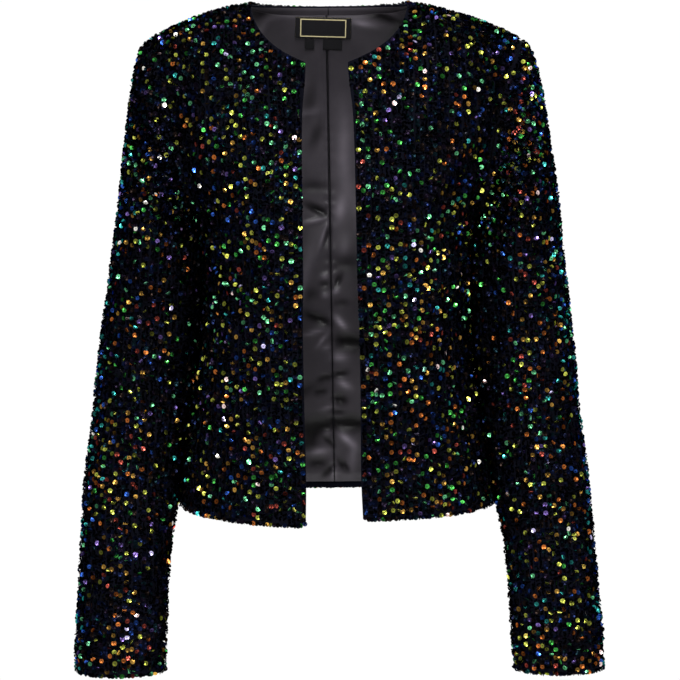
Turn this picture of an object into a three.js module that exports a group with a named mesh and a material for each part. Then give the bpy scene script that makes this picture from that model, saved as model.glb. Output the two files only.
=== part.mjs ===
// Cropped, collarless, open-front jacket of sequinned cloth, filled out as it is worn, with the arms
// hanging. Millimetres, +Z up, and the jacket faces -Y, so +X is the wearer's left. The origin is
// midway between the two shoulder seams, where the wearer's shoulders carry the jacket.
import * as THREE from "three";

// Driving sizes. A drop is measured down from the neck ends of the shoulder seams.
const NECK_END_HEIGHT = 18; // of the shoulder seams' neck ends, above the origin
const CLOTH_WALL = 2.2; // base cloth, its sequins and their thread
const LINING_WALL = 1;
const LABEL_WALL = 0.8;
const SEAM_GAP = 0.3; // between sewn pieces
const LAYER_GAP = 0.7; // between a layer and the one it lies on
const SLIP = { centre: -2.5, outside: 6 }; // +X shift at the centre line, and at the shoulders
const SLIP_FADE = { body: [180, 420], sleeve: [160, 480] }; // drops between which the latter ends
const LEAN = { slope: 0.0108, drop: 337 }; // the hem swings to +X about a level, as a slope
const LEFT_SHOULDER_FALL = 2; // how much lower the wearer's left shoulder sits
const LINING_INSET = { hem: 8, top: 1 }; // the lining stops short of the back's edges

// Grid steps. The neck end of the shoulder seam falls on a grid line of the front and of the back.
const FRONT_COLUMNS = 16;
const FRONT_NECK_COLUMNS = 7;
const BACK_COLUMNS = 14; // for half the back
const BACK_NECK_COLUMNS = 6;
const ROW_STEPS = [2, 2, 3, 2, 2, 1, 1, 1, 2, 7]; // rows between the keys below, from the hem up
const CAP_RINGS = 8; // from the armhole to the sleeve's first level ring
const SLEEVE_RINGS = 16; // from there to the cuff

// A table's rows as objects, one value for each named column.
const table = (columns, ...rows) =>
  rows.map((row) => Object.fromEntries(columns.split(" ").map((name, i) => [name, row[i]])));

// Edges of the panels on the wearer's left. A turn is the heading in plan of the level section that
// meets the edge, in degrees from +X towards +Y.
const CENTRE_FRONT = table(
  "drop x y turn",
  [506, 28.5, -119, 2],
  [460, 27.3, -119, 2],
  [400, 27.7, -120, 0],
  [318, 27.7, -122, -4],
  [262, 26.2, -125, -8],
  [218, 26, -124, -8],
  [196, 26, -122, -6],
  [172, 26, -118, -4],
  [146, 26, -110, -1],
  [118, 25.5, -100, 2],
);
const CENTRE_BACK = table(
  "drop x y turn",
  [502, 0, 112, 0],
  [457, 0, 107, 0],
  [397, 0, 99, 0],
  [316, 0, 93, 0],
  [262, 0, 98, 1],
  [218, 0, 105, 2],
  [196, 0, 107, 3],
  [172, 0, 108, 4],
  [146, 0, 107, 4],
  [114, 0, 103, 3],
);
const SIDE_SEAM = table(
  "drop x y",
  [498, 160.5, 4],
  [457, 155, 4],
  [398, 143.5, 4],
  [318, 134, 5],
  [262, 133, 6],
  [218, 137, 8],
);
const FRONT_ARMHOLE = table(
  "drop x y turn",
  [218, 137, 8, 90],
  [211, 139.5, -13, 80],
  [192, 144, -33, 68],
  [160, 150, -44, 60],
  [118, 157, -42, 54],
);
const BACK_ARMHOLE = table(
  "drop x y turn",
  [218, 137, 8, -90],
  [211, 139.5, 28, -80],
  [192, 146, 47, -68],
  [160, 153, 57, -60],
  [118, 159.5, 53, -54],
);
const SECTION_FULLNESS = 0.395; // 0.39 makes a section a quarter ellipse, and more is squarer

// The neckline and the shoulder seam as cubic curves, each from four control points.
const FRONT_NECKLINE = table("drop x y", [57, 21, -80], [45, 54, -78], [27, 76, -48], [0, 77, 0]);
const BACK_NECKLINE = table("drop x y", [3.5, 0, 68], [3.5, 40, 68], [1, 77, 44], [0, 77, 0]);
const SHOULDER_SEAM = table("drop x y", [0, 77, 0], [4, 115, 0], [18, 155, 1], [35, 184, 3]);

// Heading of the cloth where it arrives at its top edge. Share runs from the centre to the armhole.
const FRONT_ARRIVAL = table(
  "share x y z",
  [0, 0, 0.4, 0.92],
  [0.2, -0.3, 0.45, 0.84],
  [0.33, -0.55, 0.6, 0.58],
  [0.44, -0.45, 0.85, 0.2],
  [0.55, -0.25, 0.96, 0.05],
  [0.7, -0.08, 1, 0],
  [1, 0, 1, 0],
);
const BACK_ARRIVAL = table(
  "share x y z",
  [0, 0, -0.35, 0.94],
  [0.2, -0.4, -0.5, 0.82],
  [0.33, -0.57, -0.65, 0.4],
  [0.43, -0.77, -0.85, 0.03],
  [0.55, -0.6, -0.96, 0.04],
  [0.7, -0.08, -1, 0],
  [1, 0, -1, 0],
);
const YOKE_REACH = { low: 0.5, top: 0.4, neck: 0.37 }; // shares of a yoke line's chord

// The sleeve's level rings, and how it leaves the armhole at four places round it, which are
// 0 at the top, 90 in front, 180 under the arm and 270 behind.
const SLEEVE_LEVELS = table(
  "drop x y halfWidth halfDepth",
  [244, 181.5, 15, 43.5, 58],
  [297, 184.5, 20, 48, 54],
  [337, 188.7, 18, 49, 51],
  [397, 194.8, 8, 48, 47],
  [457, 203.6, -6, 46.8, 43.5],
  [517, 209.6, -20, 45.5, 40.5],
  [577, 214.3, -30, 44.8, 38.5],
  [637, 218, -38, 45.3, 37],
  [661.6, 218.6, -41, 44.6, 36],
);
const CAP_DEPARTURE = table(
  "angle x y z reach fall",
  [0, 0.93, 0, -0.37, 21, 128],
  [90, 0.9, -0.35, -0.15, 24, 45],
  [180, 1, 0, 0, 5, 12],
  [270, 0.9, 0.35, -0.15, 24, 45],
  [360, 0.93, 0, -0.37, 21, 128],
);

const DEGREE_ON_SLEEVE = 0.8; // length round the sleeve of one degree

// Large soft folds. Place is x on a panel, and degrees round a sleeve. Rise is out from the body.
const FRONT_FOLDS = table(
  "side place drop turn length width rise",
  [1, 118, 150, 62, 70, 12, 3.5],
  [1, 96, 300, 70, 60, 13, 2.5],
  [1, 118, 445, 84, 55, 16, 3],
  [1, 62, 440, 92, 80, 20, -2],
  [-1, 104, 330, 110, 60, 14, 2.5],
  [-1, 78, 455, 88, 60, 18, 3],
  [-1, 120, 170, 112, 45, 12, -2.5],
  [-1, 50, 250, 95, 90, 16, 2],
);
const BACK_FOLDS = table(
  "side place drop turn length width rise",
  [1, 60, 450, 88, 75, 18, 3.5],
  [1, 112, 460, 84, 60, 15, 3],
  [1, 95, 320, 30, 45, 11, 2.5],
  [-1, 68, 445, 93, 75, 18, 3.5],
  [-1, 118, 455, 97, 60, 15, 3],
  [-1, 90, 335, -28, 45, 11, 2.5],
);
const SLEEVE_FOLDS = table(
  "side place drop turn length width rise",
  [1, 62, 352, 24, 42, 10, 3],
  [1, 80, 398, -18, 38, 10, 2.5],
  [1, 300, 372, 12, 44, 11, 2.5],
  [1, 44, 602, 40, 34, 10, 2.5],
  [1, 30, 160, 74, 60, 13, 3],
  [-1, 58, 366, 20, 42, 10, 3],
  [-1, 84, 410, -22, 38, 10, 2.5],
  [-1, 296, 356, 10, 44, 11, 2.5],
  [-1, 78, 610, 36, 36, 11, 3],
  [-1, 50, 505, -30, 34, 10, 2],
);

const NECK_LABEL = { x: -9.3, top: 15, width: 58, height: 22, columns: 8, rows: 2 };
const SIZE_TAB = { x: -23.3, top: 37.8, width: 9, height: 9, columns: 2, rows: 1 };
const CARE_TAB = { x: 0, top: 37.8, width: 19, height: 10, columns: 4, rows: 1 };

const point = ({ x, y, drop }) => new THREE.Vector3(x, y, NECK_END_HEIGHT - drop);
const direction = ({ x, y, z }) => new THREE.Vector3(x, y, z).normalize();
const curve = (rows) => new THREE.CubicBezierCurve3(...rows.map(point));
const spread = (count, from, to) =>
  Array.from({ length: count + 1 }, (_, i) => from + ((to - from) * i) / count);

// Every column of a table at key = t, by cubic pieces whose slopes are those of the nearest rows.
function sample(rows, key, t) {
  const forward = rows.at(-1)[key] > rows[0][key] ? 1 : -1;
  const after = rows.findIndex((row) => (row[key] - t) * forward > 0);
  const i = after < 0 ? rows.length - 2 : Math.max(after - 1, 0);
  const slope = (n, column) => {
    const low = rows[Math.max(n - 1, 0)];
    const high = rows[Math.min(n + 1, rows.length - 1)];
    return (high[column] - low[column]) / (high[key] - low[key]);
  };
  const span = rows[i + 1][key] - rows[i][key];
  const s = (t - rows[i][key]) / span;
  const value = (column) =>
    rows[i][column] * (1 + 2 * s) * (1 - s) ** 2 +
    rows[i + 1][column] * s * s * (3 - 2 * s) +
    slope(i, column) * span * s * (1 - s) ** 2 -
    slope(i + 1, column) * span * s * s * (1 - s);
  return Object.fromEntries(Object.keys(rows[0]).map((column) => [column, value(column)]));
}

// The jacket has slipped to the wearer's left at the shoulders, which fall there, and leans below.
function settle(p, [start, end]) {
  const drop = NECK_END_HEIGHT - p.z;
  const outside = THREE.MathUtils.smoothstep(Math.abs(p.x), 10, 170);
  const fade = 1 - THREE.MathUtils.smoothstep(drop, start, end);
  const atShoulder = 1 - THREE.MathUtils.smoothstep(drop, 60, 200);
  p.z -= LEFT_SHOULDER_FALL * THREE.MathUtils.smoothstep(p.x, 70, 130) * atShoulder;
  p.x += THREE.MathUtils.lerp(SLIP.centre, SLIP.outside * fade, outside);
  p.x += LEAN.slope * (drop - LEAN.drop);
  return p;
}

// A level section of a panel, from its centre edge to its side seam or armhole.
function section(centre, outer) {
  const [from, to] = [point(centre), point(outer)];
  const reach = SECTION_FULLNESS * Math.hypot(to.x - from.x, to.y - from.y);
  const handle = (p, edge, sign, share) => {
    const turn = THREE.MathUtils.degToRad(edge.turn);
    return new THREE.Vector3(
      p.x + sign * reach * Math.cos(turn),
      p.y + sign * reach * Math.sin(turn),
      THREE.MathUtils.lerp(from.z, to.z, share),
    );
  };
  const handles = [handle(from, centre, 1, 1 / 3), handle(to, outer, -1, 2 / 3)];
  return new THREE.CubicBezierCurve3(from, ...handles, to);
}

// Half a panel, as a function of u, 0 at the centre edge and 1 at the side, and v, which counts the
// keys from the hem: the side seam's up to UNDERARM, the armhole's up to CHEST, then the yoke to TOP.
const UNDERARM = SIDE_SEAM.length - 1;
const CHEST = UNDERARM + FRONT_ARMHOLE.length - 1;
const TOP = CHEST + 1;

function halfPanel({ centreEdge, armhole, neckline, arrival, neckShare, sideTurn }) {
  const [neck, shoulder] = [curve(neckline), curve(SHOULDER_SEAM)];
  const keyed = (rows) => rows.map((row, key) => ({ key, ...row }));
  const [centre, side, hole] = [centreEdge, SIDE_SEAM, armhole].map(keyed);
  const body = (u, v) => {
    const onSide = { ...sample(side, "key", Math.min(v, UNDERARM)), turn: sideTurn };
    const outer = v <= UNDERARM ? onSide : sample(hole, "key", v - UNDERARM);
    return section(sample(centre, "key", v), outer).getPoint(u);
  };
  const yoke = (u) => {
    const low = body(u, CHEST);
    const alongShoulder = (u - neckShare) / (1 - neckShare);
    const top = u < neckShare ? neck.getPoint(u / neckShare) : shoulder.getPoint(alongShoulder);
    const rise = low.clone().sub(body(u, CHEST - 0.02)).normalize();
    const chord = low.distanceTo(top);
    const nearNeck = 1 - THREE.MathUtils.smoothstep(Math.abs(u - neckShare), 0, 0.25);
    const reach = THREE.MathUtils.lerp(YOKE_REACH.top, YOKE_REACH.neck, nearNeck) * chord;
    const heading = direction(sample(arrival, "share", u));
    return new THREE.CubicBezierCurve3(
      low,
      low.clone().addScaledVector(rise, YOKE_REACH.low * chord),
      top.clone().addScaledVector(heading, -reach),
      top,
    );
  };
  return (u, v) => (v <= CHEST ? body(u, v) : yoke(u).getPoint(v - CHEST));
}

const FRONT = {
  centreEdge: CENTRE_FRONT,
  armhole: FRONT_ARMHOLE,
  neckline: FRONT_NECKLINE,
  arrival: FRONT_ARRIVAL,
  neckShare: FRONT_NECK_COLUMNS / FRONT_COLUMNS,
  sideTurn: 90,
  hemLift: { left: 6, right: 0 },
};
const BACK = {
  centreEdge: CENTRE_BACK,
  armhole: BACK_ARMHOLE,
  neckline: BACK_NECKLINE,
  arrival: BACK_ARRIVAL,
  neckShare: BACK_NECK_COLUMNS / BACK_COLUMNS,
  sideTurn: -90,
  hemLift: { left: 0, right: 0 },
};

// Rows of every panel: the hem is the first, and a row lies on each key.
const ROWS = ROW_STEPS.flatMap((count, key) => spread(count, key, key + 1).slice(1));
ROWS.unshift(0);
const UNDERARM_ROW = ROWS.indexOf(UNDERARM);

// Height of the large folds at one place on a panel or sleeve, as ridges that fade all round.
function foldHeight(folds, across, drop, acrossUnit = 1) {
  return folds.reduce((sum, fold) => {
    const turn = THREE.MathUtils.degToRad(fold.turn);
    const [dx, dz] = [(across - fold.place) * acrossUnit, fold.drop - drop];
    const along = (dx * Math.cos(turn) + dz * Math.sin(turn)) / fold.length;
    const aside = (dz * Math.cos(turn) - dx * Math.sin(turn)) / fold.width;
    return sum + fold.rise * Math.exp(-along * along - aside * aside);
  }, 0);
}

// Outward directions on a grid of points, whose columns and rows run so that X then Z face -Y.
function normals(grid, round) {
  const last = grid.length - 1;
  return grid.map((row, r) =>
    row.map((_, c) => {
      const wrap = (n) => (n + row.length) % row.length;
      const [west, east] = round
        ? [wrap(c - 1), wrap(c + 1)]
        : [Math.max(c - 1, 0), Math.min(c + 1, row.length - 1)];
      const alongRow = row[east].clone().sub(row[west]);
      const up = grid[Math.min(r + 1, last)][c].clone().sub(grid[Math.max(r - 1, 0)][c]);
      return alongRow.cross(up).normalize();
    }),
  );
}

const moved = (grid, directions, distance) =>
  grid.map((row, r) => row.map((p, c) => p.clone().addScaledVector(directions[r][c], distance)));

// Moves a point along the grid towards its neighbour by a distance.
const pull = (p, neighbour, distance) =>
  p.addScaledVector(neighbour.clone().sub(p).normalize(), distance);

// A panel's outer and inner points. Its columns are signed shares, negative on the wearer's right.
// At the side and shoulder seams it stops half a seam's gap short, and its wall stands square.
function panel(shape, columns, folds) {
  const half = halfPanel(shape);
  const flat = ROWS.map((v) =>
    columns.map(({ u, side }) => {
      const p = half(u, v);
      const lift = side > 0 ? shape.hemLift.left : shape.hemLift.right;
      p.x *= side;
      p.z += lift * (1 - u) * (1 - THREE.MathUtils.smoothstep(v, 0, 3));
      return settle(p, SLIP_FADE.body);
    }),
  );
  const isShoulder = (r, c) => r === ROWS.length - 1 && columns[c].u > shape.neckShare - 1e-6;
  const isSide = (r, c) => r <= UNDERARM_ROW && columns[c].u === 1;
  const bare = normals(flat, false);
  const outer = flat.map((row, r) =>
    row.map((p, c) => {
      const { u, side } = columns[c];
      const fromSeam = Math.min(1, (1 - u) * 6, (TOP - ROWS[r]) * 3);
      const near = folds.filter((fold) => fold.side === side);
      const height = foldHeight(near, Math.abs(p.x), NECK_END_HEIGHT - p.z);
      return p.clone().addScaledVector(bare[r][c], fromSeam * height);
    }),
  );
  const out = normals(outer, false);
  outer.forEach((row, r) =>
    row.forEach((p, c) => {
      const seams = [isShoulder(r, c), isSide(r, c)];
      if (seams[0]) pull(p, outer[r - 1][c], SEAM_GAP / 2);
      if (seams[1]) pull(p, row[c === 0 ? 1 : c - 1], SEAM_GAP / 2);
      if (seams.some(Boolean)) out[r][c].setY(0).normalize();
    }),
  );
  return { outer, inner: moved(outer, out, -CLOTH_WALL), out };
}

// A sleeve's points, in rings from the cuff up to the armhole. Each line round the arm starts at a
// point of the armhole: the front's from the shoulder down, then the back's from the underarm up.
function sleeve(side, hole) {
  const count = hole.length;
  const lengths = hole.map(({ outer }, i) => outer.distanceTo(hole[(i + 1) % count].outer));
  const measure = (from, to) => lengths.slice(from, to).reduce((sum, length) => sum + length, 0);
  const [front, whole] = [measure(0, count / 2), measure(0, count)];
  const angles = hole.map((_, i) =>
    i <= count / 2
      ? (180 * measure(0, i)) / front
      : 180 + (180 * measure(count / 2, i)) / (whole - front),
  );
  const level = (drop, angle) => {
    const ring = sample(SLEEVE_LEVELS, "drop", drop);
    const turn = THREE.MathUtils.degToRad(angle);
    const x = ring.x + ring.halfWidth * Math.cos(turn);
    const p = new THREE.Vector3(side * x, ring.y - ring.halfDepth * Math.sin(turn), 0);
    p.z = NECK_END_HEIGHT - drop;
    return settle(p, SLIP_FADE.sleeve);
  };
  const [first, last] = [SLEEVE_LEVELS[0].drop, SLEEVE_LEVELS.at(-1).drop];
  const caps = hole.map(({ outer, inner }, i) => {
    const tangent = hole[(i + 1) % count].outer.clone().sub(hole[(i + count - 1) % count].outer);
    const across = outer.clone().sub(inner).cross(tangent).normalize();
    const start = outer.clone().addScaledVector(across, side * SEAM_GAP);
    const leave = sample(CAP_DEPARTURE, "angle", angles[i]);
    const heading = direction(leave);
    heading.x *= side;
    const end = level(first, angles[i]);
    const below = level(first + 20, angles[i]);
    const arrive = end.clone().sub(below).normalize();
    const line = new THREE.CubicBezierCurve3(
      start,
      start.clone().addScaledVector(heading, leave.reach),
      end.clone().addScaledVector(arrive, leave.fall),
      end,
    );
    return { line, rim: inner.clone().addScaledVector(across, side * SEAM_GAP) };
  });
  const order = (list) => (side > 0 ? [...list].reverse() : list);
  const levels = spread(SLEEVE_RINGS, last, first).slice(0, -1);
  const rings = levels.map((drop) => order(angles.map((angle) => level(drop, angle))));
  spread(CAP_RINGS, 1, 0).forEach((s) => rings.push(order(caps.map(({ line }) => line.getPoint(s)))));

  const own = SLEEVE_FOLDS.filter((fold) => fold.side === side);
  const bare = normals(rings, true);
  const outer = rings.map((ring, r) =>
    ring.map((p, i) => {
      const fromSeam = Math.min(1, (rings.length - 1 - r) / 3);
      const angle = order(angles)[i];
      const height = foldHeight(own, angle, NECK_END_HEIGHT - p.z, DEGREE_ON_SLEEVE);
      return p.clone().addScaledVector(bare[r][i], fromSeam * height);
    }),
  );
  const out = normals(outer, true);
  const inner = moved(outer, out, -CLOTH_WALL);
  inner[inner.length - 1] = order(caps.map(({ rim }) => rim));
  return { outer, inner };
}

// One closed body between two like grids, with rims along its open edges.
function sheet(name, { outer, inner }, material, round = false) {
  const [rows, columns] = [outer.length, outer[0].length];
  const positions = [...outer, ...inner].flat().flatMap((p) => p.toArray());
  const index = (layer, r, c) => layer * rows * columns + r * columns + (c % columns);
  const triangles = [];
  const quad = (a, b, c, d) => triangles.push(a, b, c, a, c, d);
  const spans = round ? columns : columns - 1;
  for (let r = 0; r < rows - 1; r += 1) {
    for (let c = 0; c < spans; c += 1) {
      const corners = [[r, c], [r, c + 1], [r + 1, c + 1], [r + 1, c]];
      quad(...corners.map((corner) => index(0, ...corner)));
      const [a, b, d, e] = corners.map((corner) => index(1, ...corner));
      triangles.push(a, d, b, a, e, d);
    }
  }
  for (let c = 0; c < spans; c += 1) {
    const top = rows - 1;
    quad(index(1, 0, c), index(1, 0, c + 1), index(0, 0, c + 1), index(0, 0, c));
    quad(index(0, top, c + 1), index(1, top, c + 1), index(1, top, c), index(0, top, c));
  }
  for (let r = 0; r < rows - 1 && !round; r += 1) {
    const east = columns - 1;
    quad(index(0, r, 0), index(0, r + 1, 0), index(1, r + 1, 0), index(1, r, 0));
    quad(index(1, r, east), index(1, r + 1, east), index(0, r + 1, east), index(0, r, east));
  }
  const geometry = new THREE.BufferGeometry();
  geometry.setAttribute("position", new THREE.Float32BufferAttribute(positions, 3));
  geometry.setIndex(triangles);
  geometry.computeVertexNormals();
  const mesh = new THREE.Mesh(geometry, new THREE.MeshStandardMaterial(material));
  mesh.name = name;
  return mesh;
}

// Half of the back's lining: the back's inner points between two columns, the outer of them one
// short of the side, drawn in at the centre seam, the hem and the top, and moved inward.
function lining({ inner, out }, from, to) {
  const cut = (grid) => grid.map((row) => row.slice(from, to + 1).map((p) => p.clone()));
  const [points, outward] = [cut(inner), cut(out)];
  const [top, east] = [points.length - 1, points[0].length - 1];
  const draw = (r, c, r2, c2, distance) => {
    const share = distance / points[r][c].distanceTo(points[r2][c2]);
    points[r][c].lerp(points[r2][c2], share);
    outward[r][c].lerp(outward[r2][c2], share);
  };
  points.forEach((_, r) => {
    draw(r, from > 1 ? 0 : east, r, from > 1 ? 1 : east - 1, SEAM_GAP / 2);
  });
  points[0].forEach((_, c) => {
    draw(0, c, 1, c, LINING_INSET.hem);
    draw(top, c, top - 1, c, LINING_INSET.top);
  });
  return {
    outer: moved(points, outward, -LAYER_GAP),
    inner: moved(points, outward, -LAYER_GAP - LINING_WALL),
  };
}

// A label on the lining. Its points are found straight behind it, then moved out towards the front.
function label({ x, top, width, height, columns, rows }, backing) {
  const hits = spread(rows, top + height, top).map((drop) =>
    spread(columns, x - width / 2, x + width / 2).map((across) => {
      const from = new THREE.Vector3(across, 0, NECK_END_HEIGHT - drop);
      return new THREE.Raycaster(from, new THREE.Vector3(0, 1, 0)).intersectObjects(backing)[0];
    }),
  );
  const facing = new THREE.Vector3();
  hits.flat().forEach((hit) => facing.add(hit.face.normal));
  facing.normalize();
  const points = hits.map((row) => row.map((hit) => hit.point));
  const directions = points.map((row) => row.map(() => facing));
  return {
    outer: moved(points, directions, LAYER_GAP + LABEL_WALL),
    inner: moved(points, directions, LAYER_GAP),
  };
}

// The pieces.
const halfColumns = (count, side) => spread(count, 0, 1).map((u) => ({ u, side }));
const leftFront = panel(FRONT, halfColumns(FRONT_COLUMNS, 1), FRONT_FOLDS);
const rightFront = panel(FRONT, halfColumns(FRONT_COLUMNS, -1).reverse(), FRONT_FOLDS);
const backColumns = [
  ...halfColumns(BACK_COLUMNS, 1).reverse(),
  ...halfColumns(BACK_COLUMNS, -1).slice(1),
];
const back = panel(BACK, backColumns, BACK_FOLDS);

// The armhole's points, with the two panels' seam ends met half way at the shoulder and underarm.
function armhole(front, frontColumn, backColumn) {
  const edge = ({ outer, inner }, column) =>
    ROWS.map((_, r) => ({ outer: outer[r][column], inner: inner[r][column] })).slice(UNDERARM_ROW);
  const [ahead, behind] = [edge(front, frontColumn).reverse(), edge(back, backColumn)];
  const between = (a, b) => ({
    outer: a.outer.clone().lerp(b.outer, 0.5),
    inner: a.inner.clone().lerp(b.inner, 0.5),
  });
  const [shoulder, underarm] = [between(ahead[0], behind.at(-1)), between(ahead.at(-1), behind[0])];
  return [shoulder, ...ahead.slice(1, -1), underarm, ...behind.slice(1, -1)];
}

const CLOTH = { color: 0x191b2a, roughness: 0.45, metalness: 0.2 };
const LINING = { color: 0x3a373d, roughness: 0.5 };
const LABEL = { color: 0x0c0c0e, roughness: 0.7 };

const leftLining = sheet("lining_back_left", lining(back, 1, BACK_COLUMNS), LINING);
const rightHalf = lining(back, BACK_COLUMNS, 2 * BACK_COLUMNS - 1);
const rightLining = sheet("lining_back_right", rightHalf, LINING);
const linings = [leftLining, rightLining];

const jacket = new THREE.Group();
jacket.name = "sequin_jacket";
jacket.add(
  sheet("back", back, CLOTH),
  sheet("front_left", leftFront, CLOTH),
  sheet("front_right", rightFront, CLOTH),
  sheet("sleeve_left", sleeve(1, armhole(leftFront, FRONT_COLUMNS, 0)), CLOTH, true),
  sheet("sleeve_right", sleeve(-1, armhole(rightFront, 0, 2 * BACK_COLUMNS)), CLOTH, true),
  ...linings,
  sheet("neck_label", label(NECK_LABEL, linings), LABEL),
  sheet("size_tab", label(SIZE_TAB, linings), LABEL),
  sheet("care_tab", label(CARE_TAB, linings), LABEL),
);

export default jacket;
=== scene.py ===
"""A cropped, collarless, open-front jacket of sequinned cloth, filled out as it is when worn."""
import math

import bpy
import numpy as np
from mathutils import Matrix


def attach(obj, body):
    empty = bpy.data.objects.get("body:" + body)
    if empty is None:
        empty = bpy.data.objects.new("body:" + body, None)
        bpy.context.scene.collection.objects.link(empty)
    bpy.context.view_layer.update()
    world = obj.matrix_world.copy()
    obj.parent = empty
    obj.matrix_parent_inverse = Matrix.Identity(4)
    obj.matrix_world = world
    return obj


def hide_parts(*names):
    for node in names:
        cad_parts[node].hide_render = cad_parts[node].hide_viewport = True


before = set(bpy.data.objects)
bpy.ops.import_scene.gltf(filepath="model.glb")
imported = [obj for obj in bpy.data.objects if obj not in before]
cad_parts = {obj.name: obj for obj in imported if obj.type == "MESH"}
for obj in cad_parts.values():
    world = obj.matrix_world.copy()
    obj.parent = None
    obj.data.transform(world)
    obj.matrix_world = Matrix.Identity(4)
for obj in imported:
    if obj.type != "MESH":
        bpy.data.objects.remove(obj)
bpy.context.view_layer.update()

random = np.random.default_rng(20)

# Camera: level with the jacket's middle, a little above it, on a long lens
AIM = np.array([5.8, 0.0, -317.4]) / 1000
ELEVATION = math.radians(6)
CAMERA_DISTANCE = 3.0
CAMERA_ROLL = -0.006
FOCAL_LENGTH, FILM_WIDTH = 158.82, 36
lens = bpy.data.cameras.new("camera")
lens.lens, lens.sensor_width = FOCAL_LENGTH, FILM_WIDTH
camera = bpy.data.objects.new("camera", lens)
view = np.array([0, math.cos(ELEVATION), -math.sin(ELEVATION)])
camera.matrix_world = (
    Matrix.Translation(AIM - CAMERA_DISTANCE * view)
    @ Matrix.Rotation(math.pi / 2 - ELEVATION, 4, "X")
    @ Matrix.Rotation(CAMERA_ROLL, 4, "Z")
)
bpy.context.collection.objects.link(camera)
bpy.context.scene.camera = camera

# The jacket's cut, in millimetres: a drop is measured down from the shoulders' neck ends
NECK_END_HEIGHT = 18
SEAM_GAP = 0.3
# The slip to one side at the middle and outside it, the x over which it changes and, for the body
# and the sleeves, the drops over which it fades
SLIP_CENTRE, SLIP_OUTSIDE, SLIP_ACROSS = -2.5, 6, (10, 170)
BODY_SLIP_FADE, SLEEVE_SLIP_FADE = (180, 420), (160, 480)
LEAN_SLOPE, LEAN_DROP = 0.0108, 337
LEFT_SHOULDER_FALL, SHOULDER_ACROSS, SHOULDER_FADE = 2, (70, 130), (60, 200)
SIDE_RISE, SIDE_START = (1.5, 4), 0.7  # how far the hem climbs to the left and right side seams
CORNER_ACROSS, CORNER_ROWS = 0.03, (0.03, 0.2)  # where the hem's front corners are rounded
FULLNESS = 0.395  # reach of a level section's handles, as a share of its chord
BASE_FACE, BACK_FACE = -1.3, -2.2  # the base cloth's two faces, from the panel's surface
ROLLED_BASE_FACE, ROLLED_BACK_FACE = -1.1, -2.6  # the same at a rolled edge
FINE = 5  # grid steps for each step of the solids

# drop, x, y, turn
CENTRE_FRONT = np.array([
    [506, 28.5, -119, 2], [460, 27.3, -119, 2], [400, 27.7, -120, 0], [318, 27.7, -122, -4],
    [262, 26.2, -125, -8], [218, 26, -124, -8], [196, 26, -122, -6], [172, 26, -118, -4],
    [146, 26, -110, -1], [118, 25.5, -100, 2]])
CENTRE_BACK = np.array([
    [502, 0, 112, 0], [457, 0, 107, 0], [397, 0, 99, 0], [316, 0, 93, 0], [262, 0, 98, 1],
    [218, 0, 105, 2], [196, 0, 107, 3], [172, 0, 108, 4], [146, 0, 107, 4], [114, 0, 103, 3]])
# drop, x, y
SIDE_SEAM = np.array([
    [498, 160.5, 4], [457, 155, 4], [398, 143.5, 4], [318, 134, 5], [262, 133, 6], [218, 137, 8]])
# drop, x, y, turn
FRONT_ARMHOLE = np.array([
    [218, 137, 8, 90], [211, 139.5, -13, 80], [192, 144, -33, 68], [160, 150, -44, 60],
    [118, 157, -42, 54]])
BACK_ARMHOLE = np.array([
    [218, 137, 8, -90], [211, 139.5, 28, -80], [192, 146, 47, -68], [160, 153, 57, -60],
    [118, 159.5, 53, -54]])
# drop, x, y of a curve's four control points
FRONT_NECKLINE = np.array([[57, 21, -80], [45, 54, -78], [27, 76, -48], [0, 77, 0]])
BACK_NECKLINE = np.array([[3.5, 0, 68], [3.5, 40, 68], [1, 77, 44], [0, 77, 0]])
SHOULDER_SEAM = np.array([[0, 77, 0], [4, 115, 0], [18, 155, 1], [35, 184, 3]])
# share, and the heading x, y, z of the cloth at the top edge
FRONT_ARRIVAL = np.array([
    [0, 0, 0.4, 0.92], [0.2, -0.3, 0.45, 0.84], [0.33, -0.55, 0.6, 0.58], [0.44, -0.45, 0.85, 0.2],
    [0.55, -0.25, 0.96, 0.05], [0.7, -0.08, 1, 0], [1, 0, 1, 0]])
BACK_ARRIVAL = np.array([
    [0, 0, -0.35, 0.94], [0.2, -0.4, -0.5, 0.82], [0.33, -0.57, -0.65, 0.4],
    [0.43, -0.77, -0.85, 0.03], [0.55, -0.6, -0.96, 0.04], [0.7, -0.08, -1, 0], [1, 0, -1, 0]])
# Reach of the yoke's handles at the chest, the top and the neck end, as shares of its chord
REACH_LOW, REACH_TOP, REACH_NECK, NECK_NEARNESS = 0.5, 0.4, 0.37, 0.25
STEP_BELOW_CHEST = 0.02
FRONT_NECK_SHARE, BACK_NECK_SHARE = 7 / 16, 6 / 14  # where the neckline ends across half a panel
# drop, x, y, half width, half depth of the sleeve's level rings
SLEEVE_LEVELS = np.array([
    [244, 181.5, 15, 43.5, 58], [297, 184.5, 20, 48, 54], [337, 188.7, 18, 49, 51],
    [397, 194.8, 8, 48, 47], [457, 203.6, -6, 46.8, 43.5], [517, 209.6, -20, 45.5, 40.5],
    [577, 214.3, -30, 44.8, 38.5], [637, 218, -38, 45.3, 37], [661.6, 218.6, -41, 44.6, 36]])
# angle round the armhole, the heading x, y, z the sleeve leaves it in, reach and fall
CAP_DEPARTURE = np.array([
    [0, 0.93, 0, -0.37, 21, 128], [90, 0.9, -0.35, -0.15, 24, 45], [180, 1, 0, 0, 5, 12],
    [270, 0.9, 0.35, -0.15, 24, 45], [360, 0.93, 0, -0.37, 21, 128]])
DEGREE_ON_SLEEVE = 0.8  # millimetres round the sleeve to a degree
CUFF_TURN = np.array([1.3, 1.8, 2.4, 3.4])  # rows close together above the cuff's edge
RING_STEP, CAP_STEPS, ARM_STEPS, CAP_FOLD_STEPS = 20, 8, 16, 3
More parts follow.
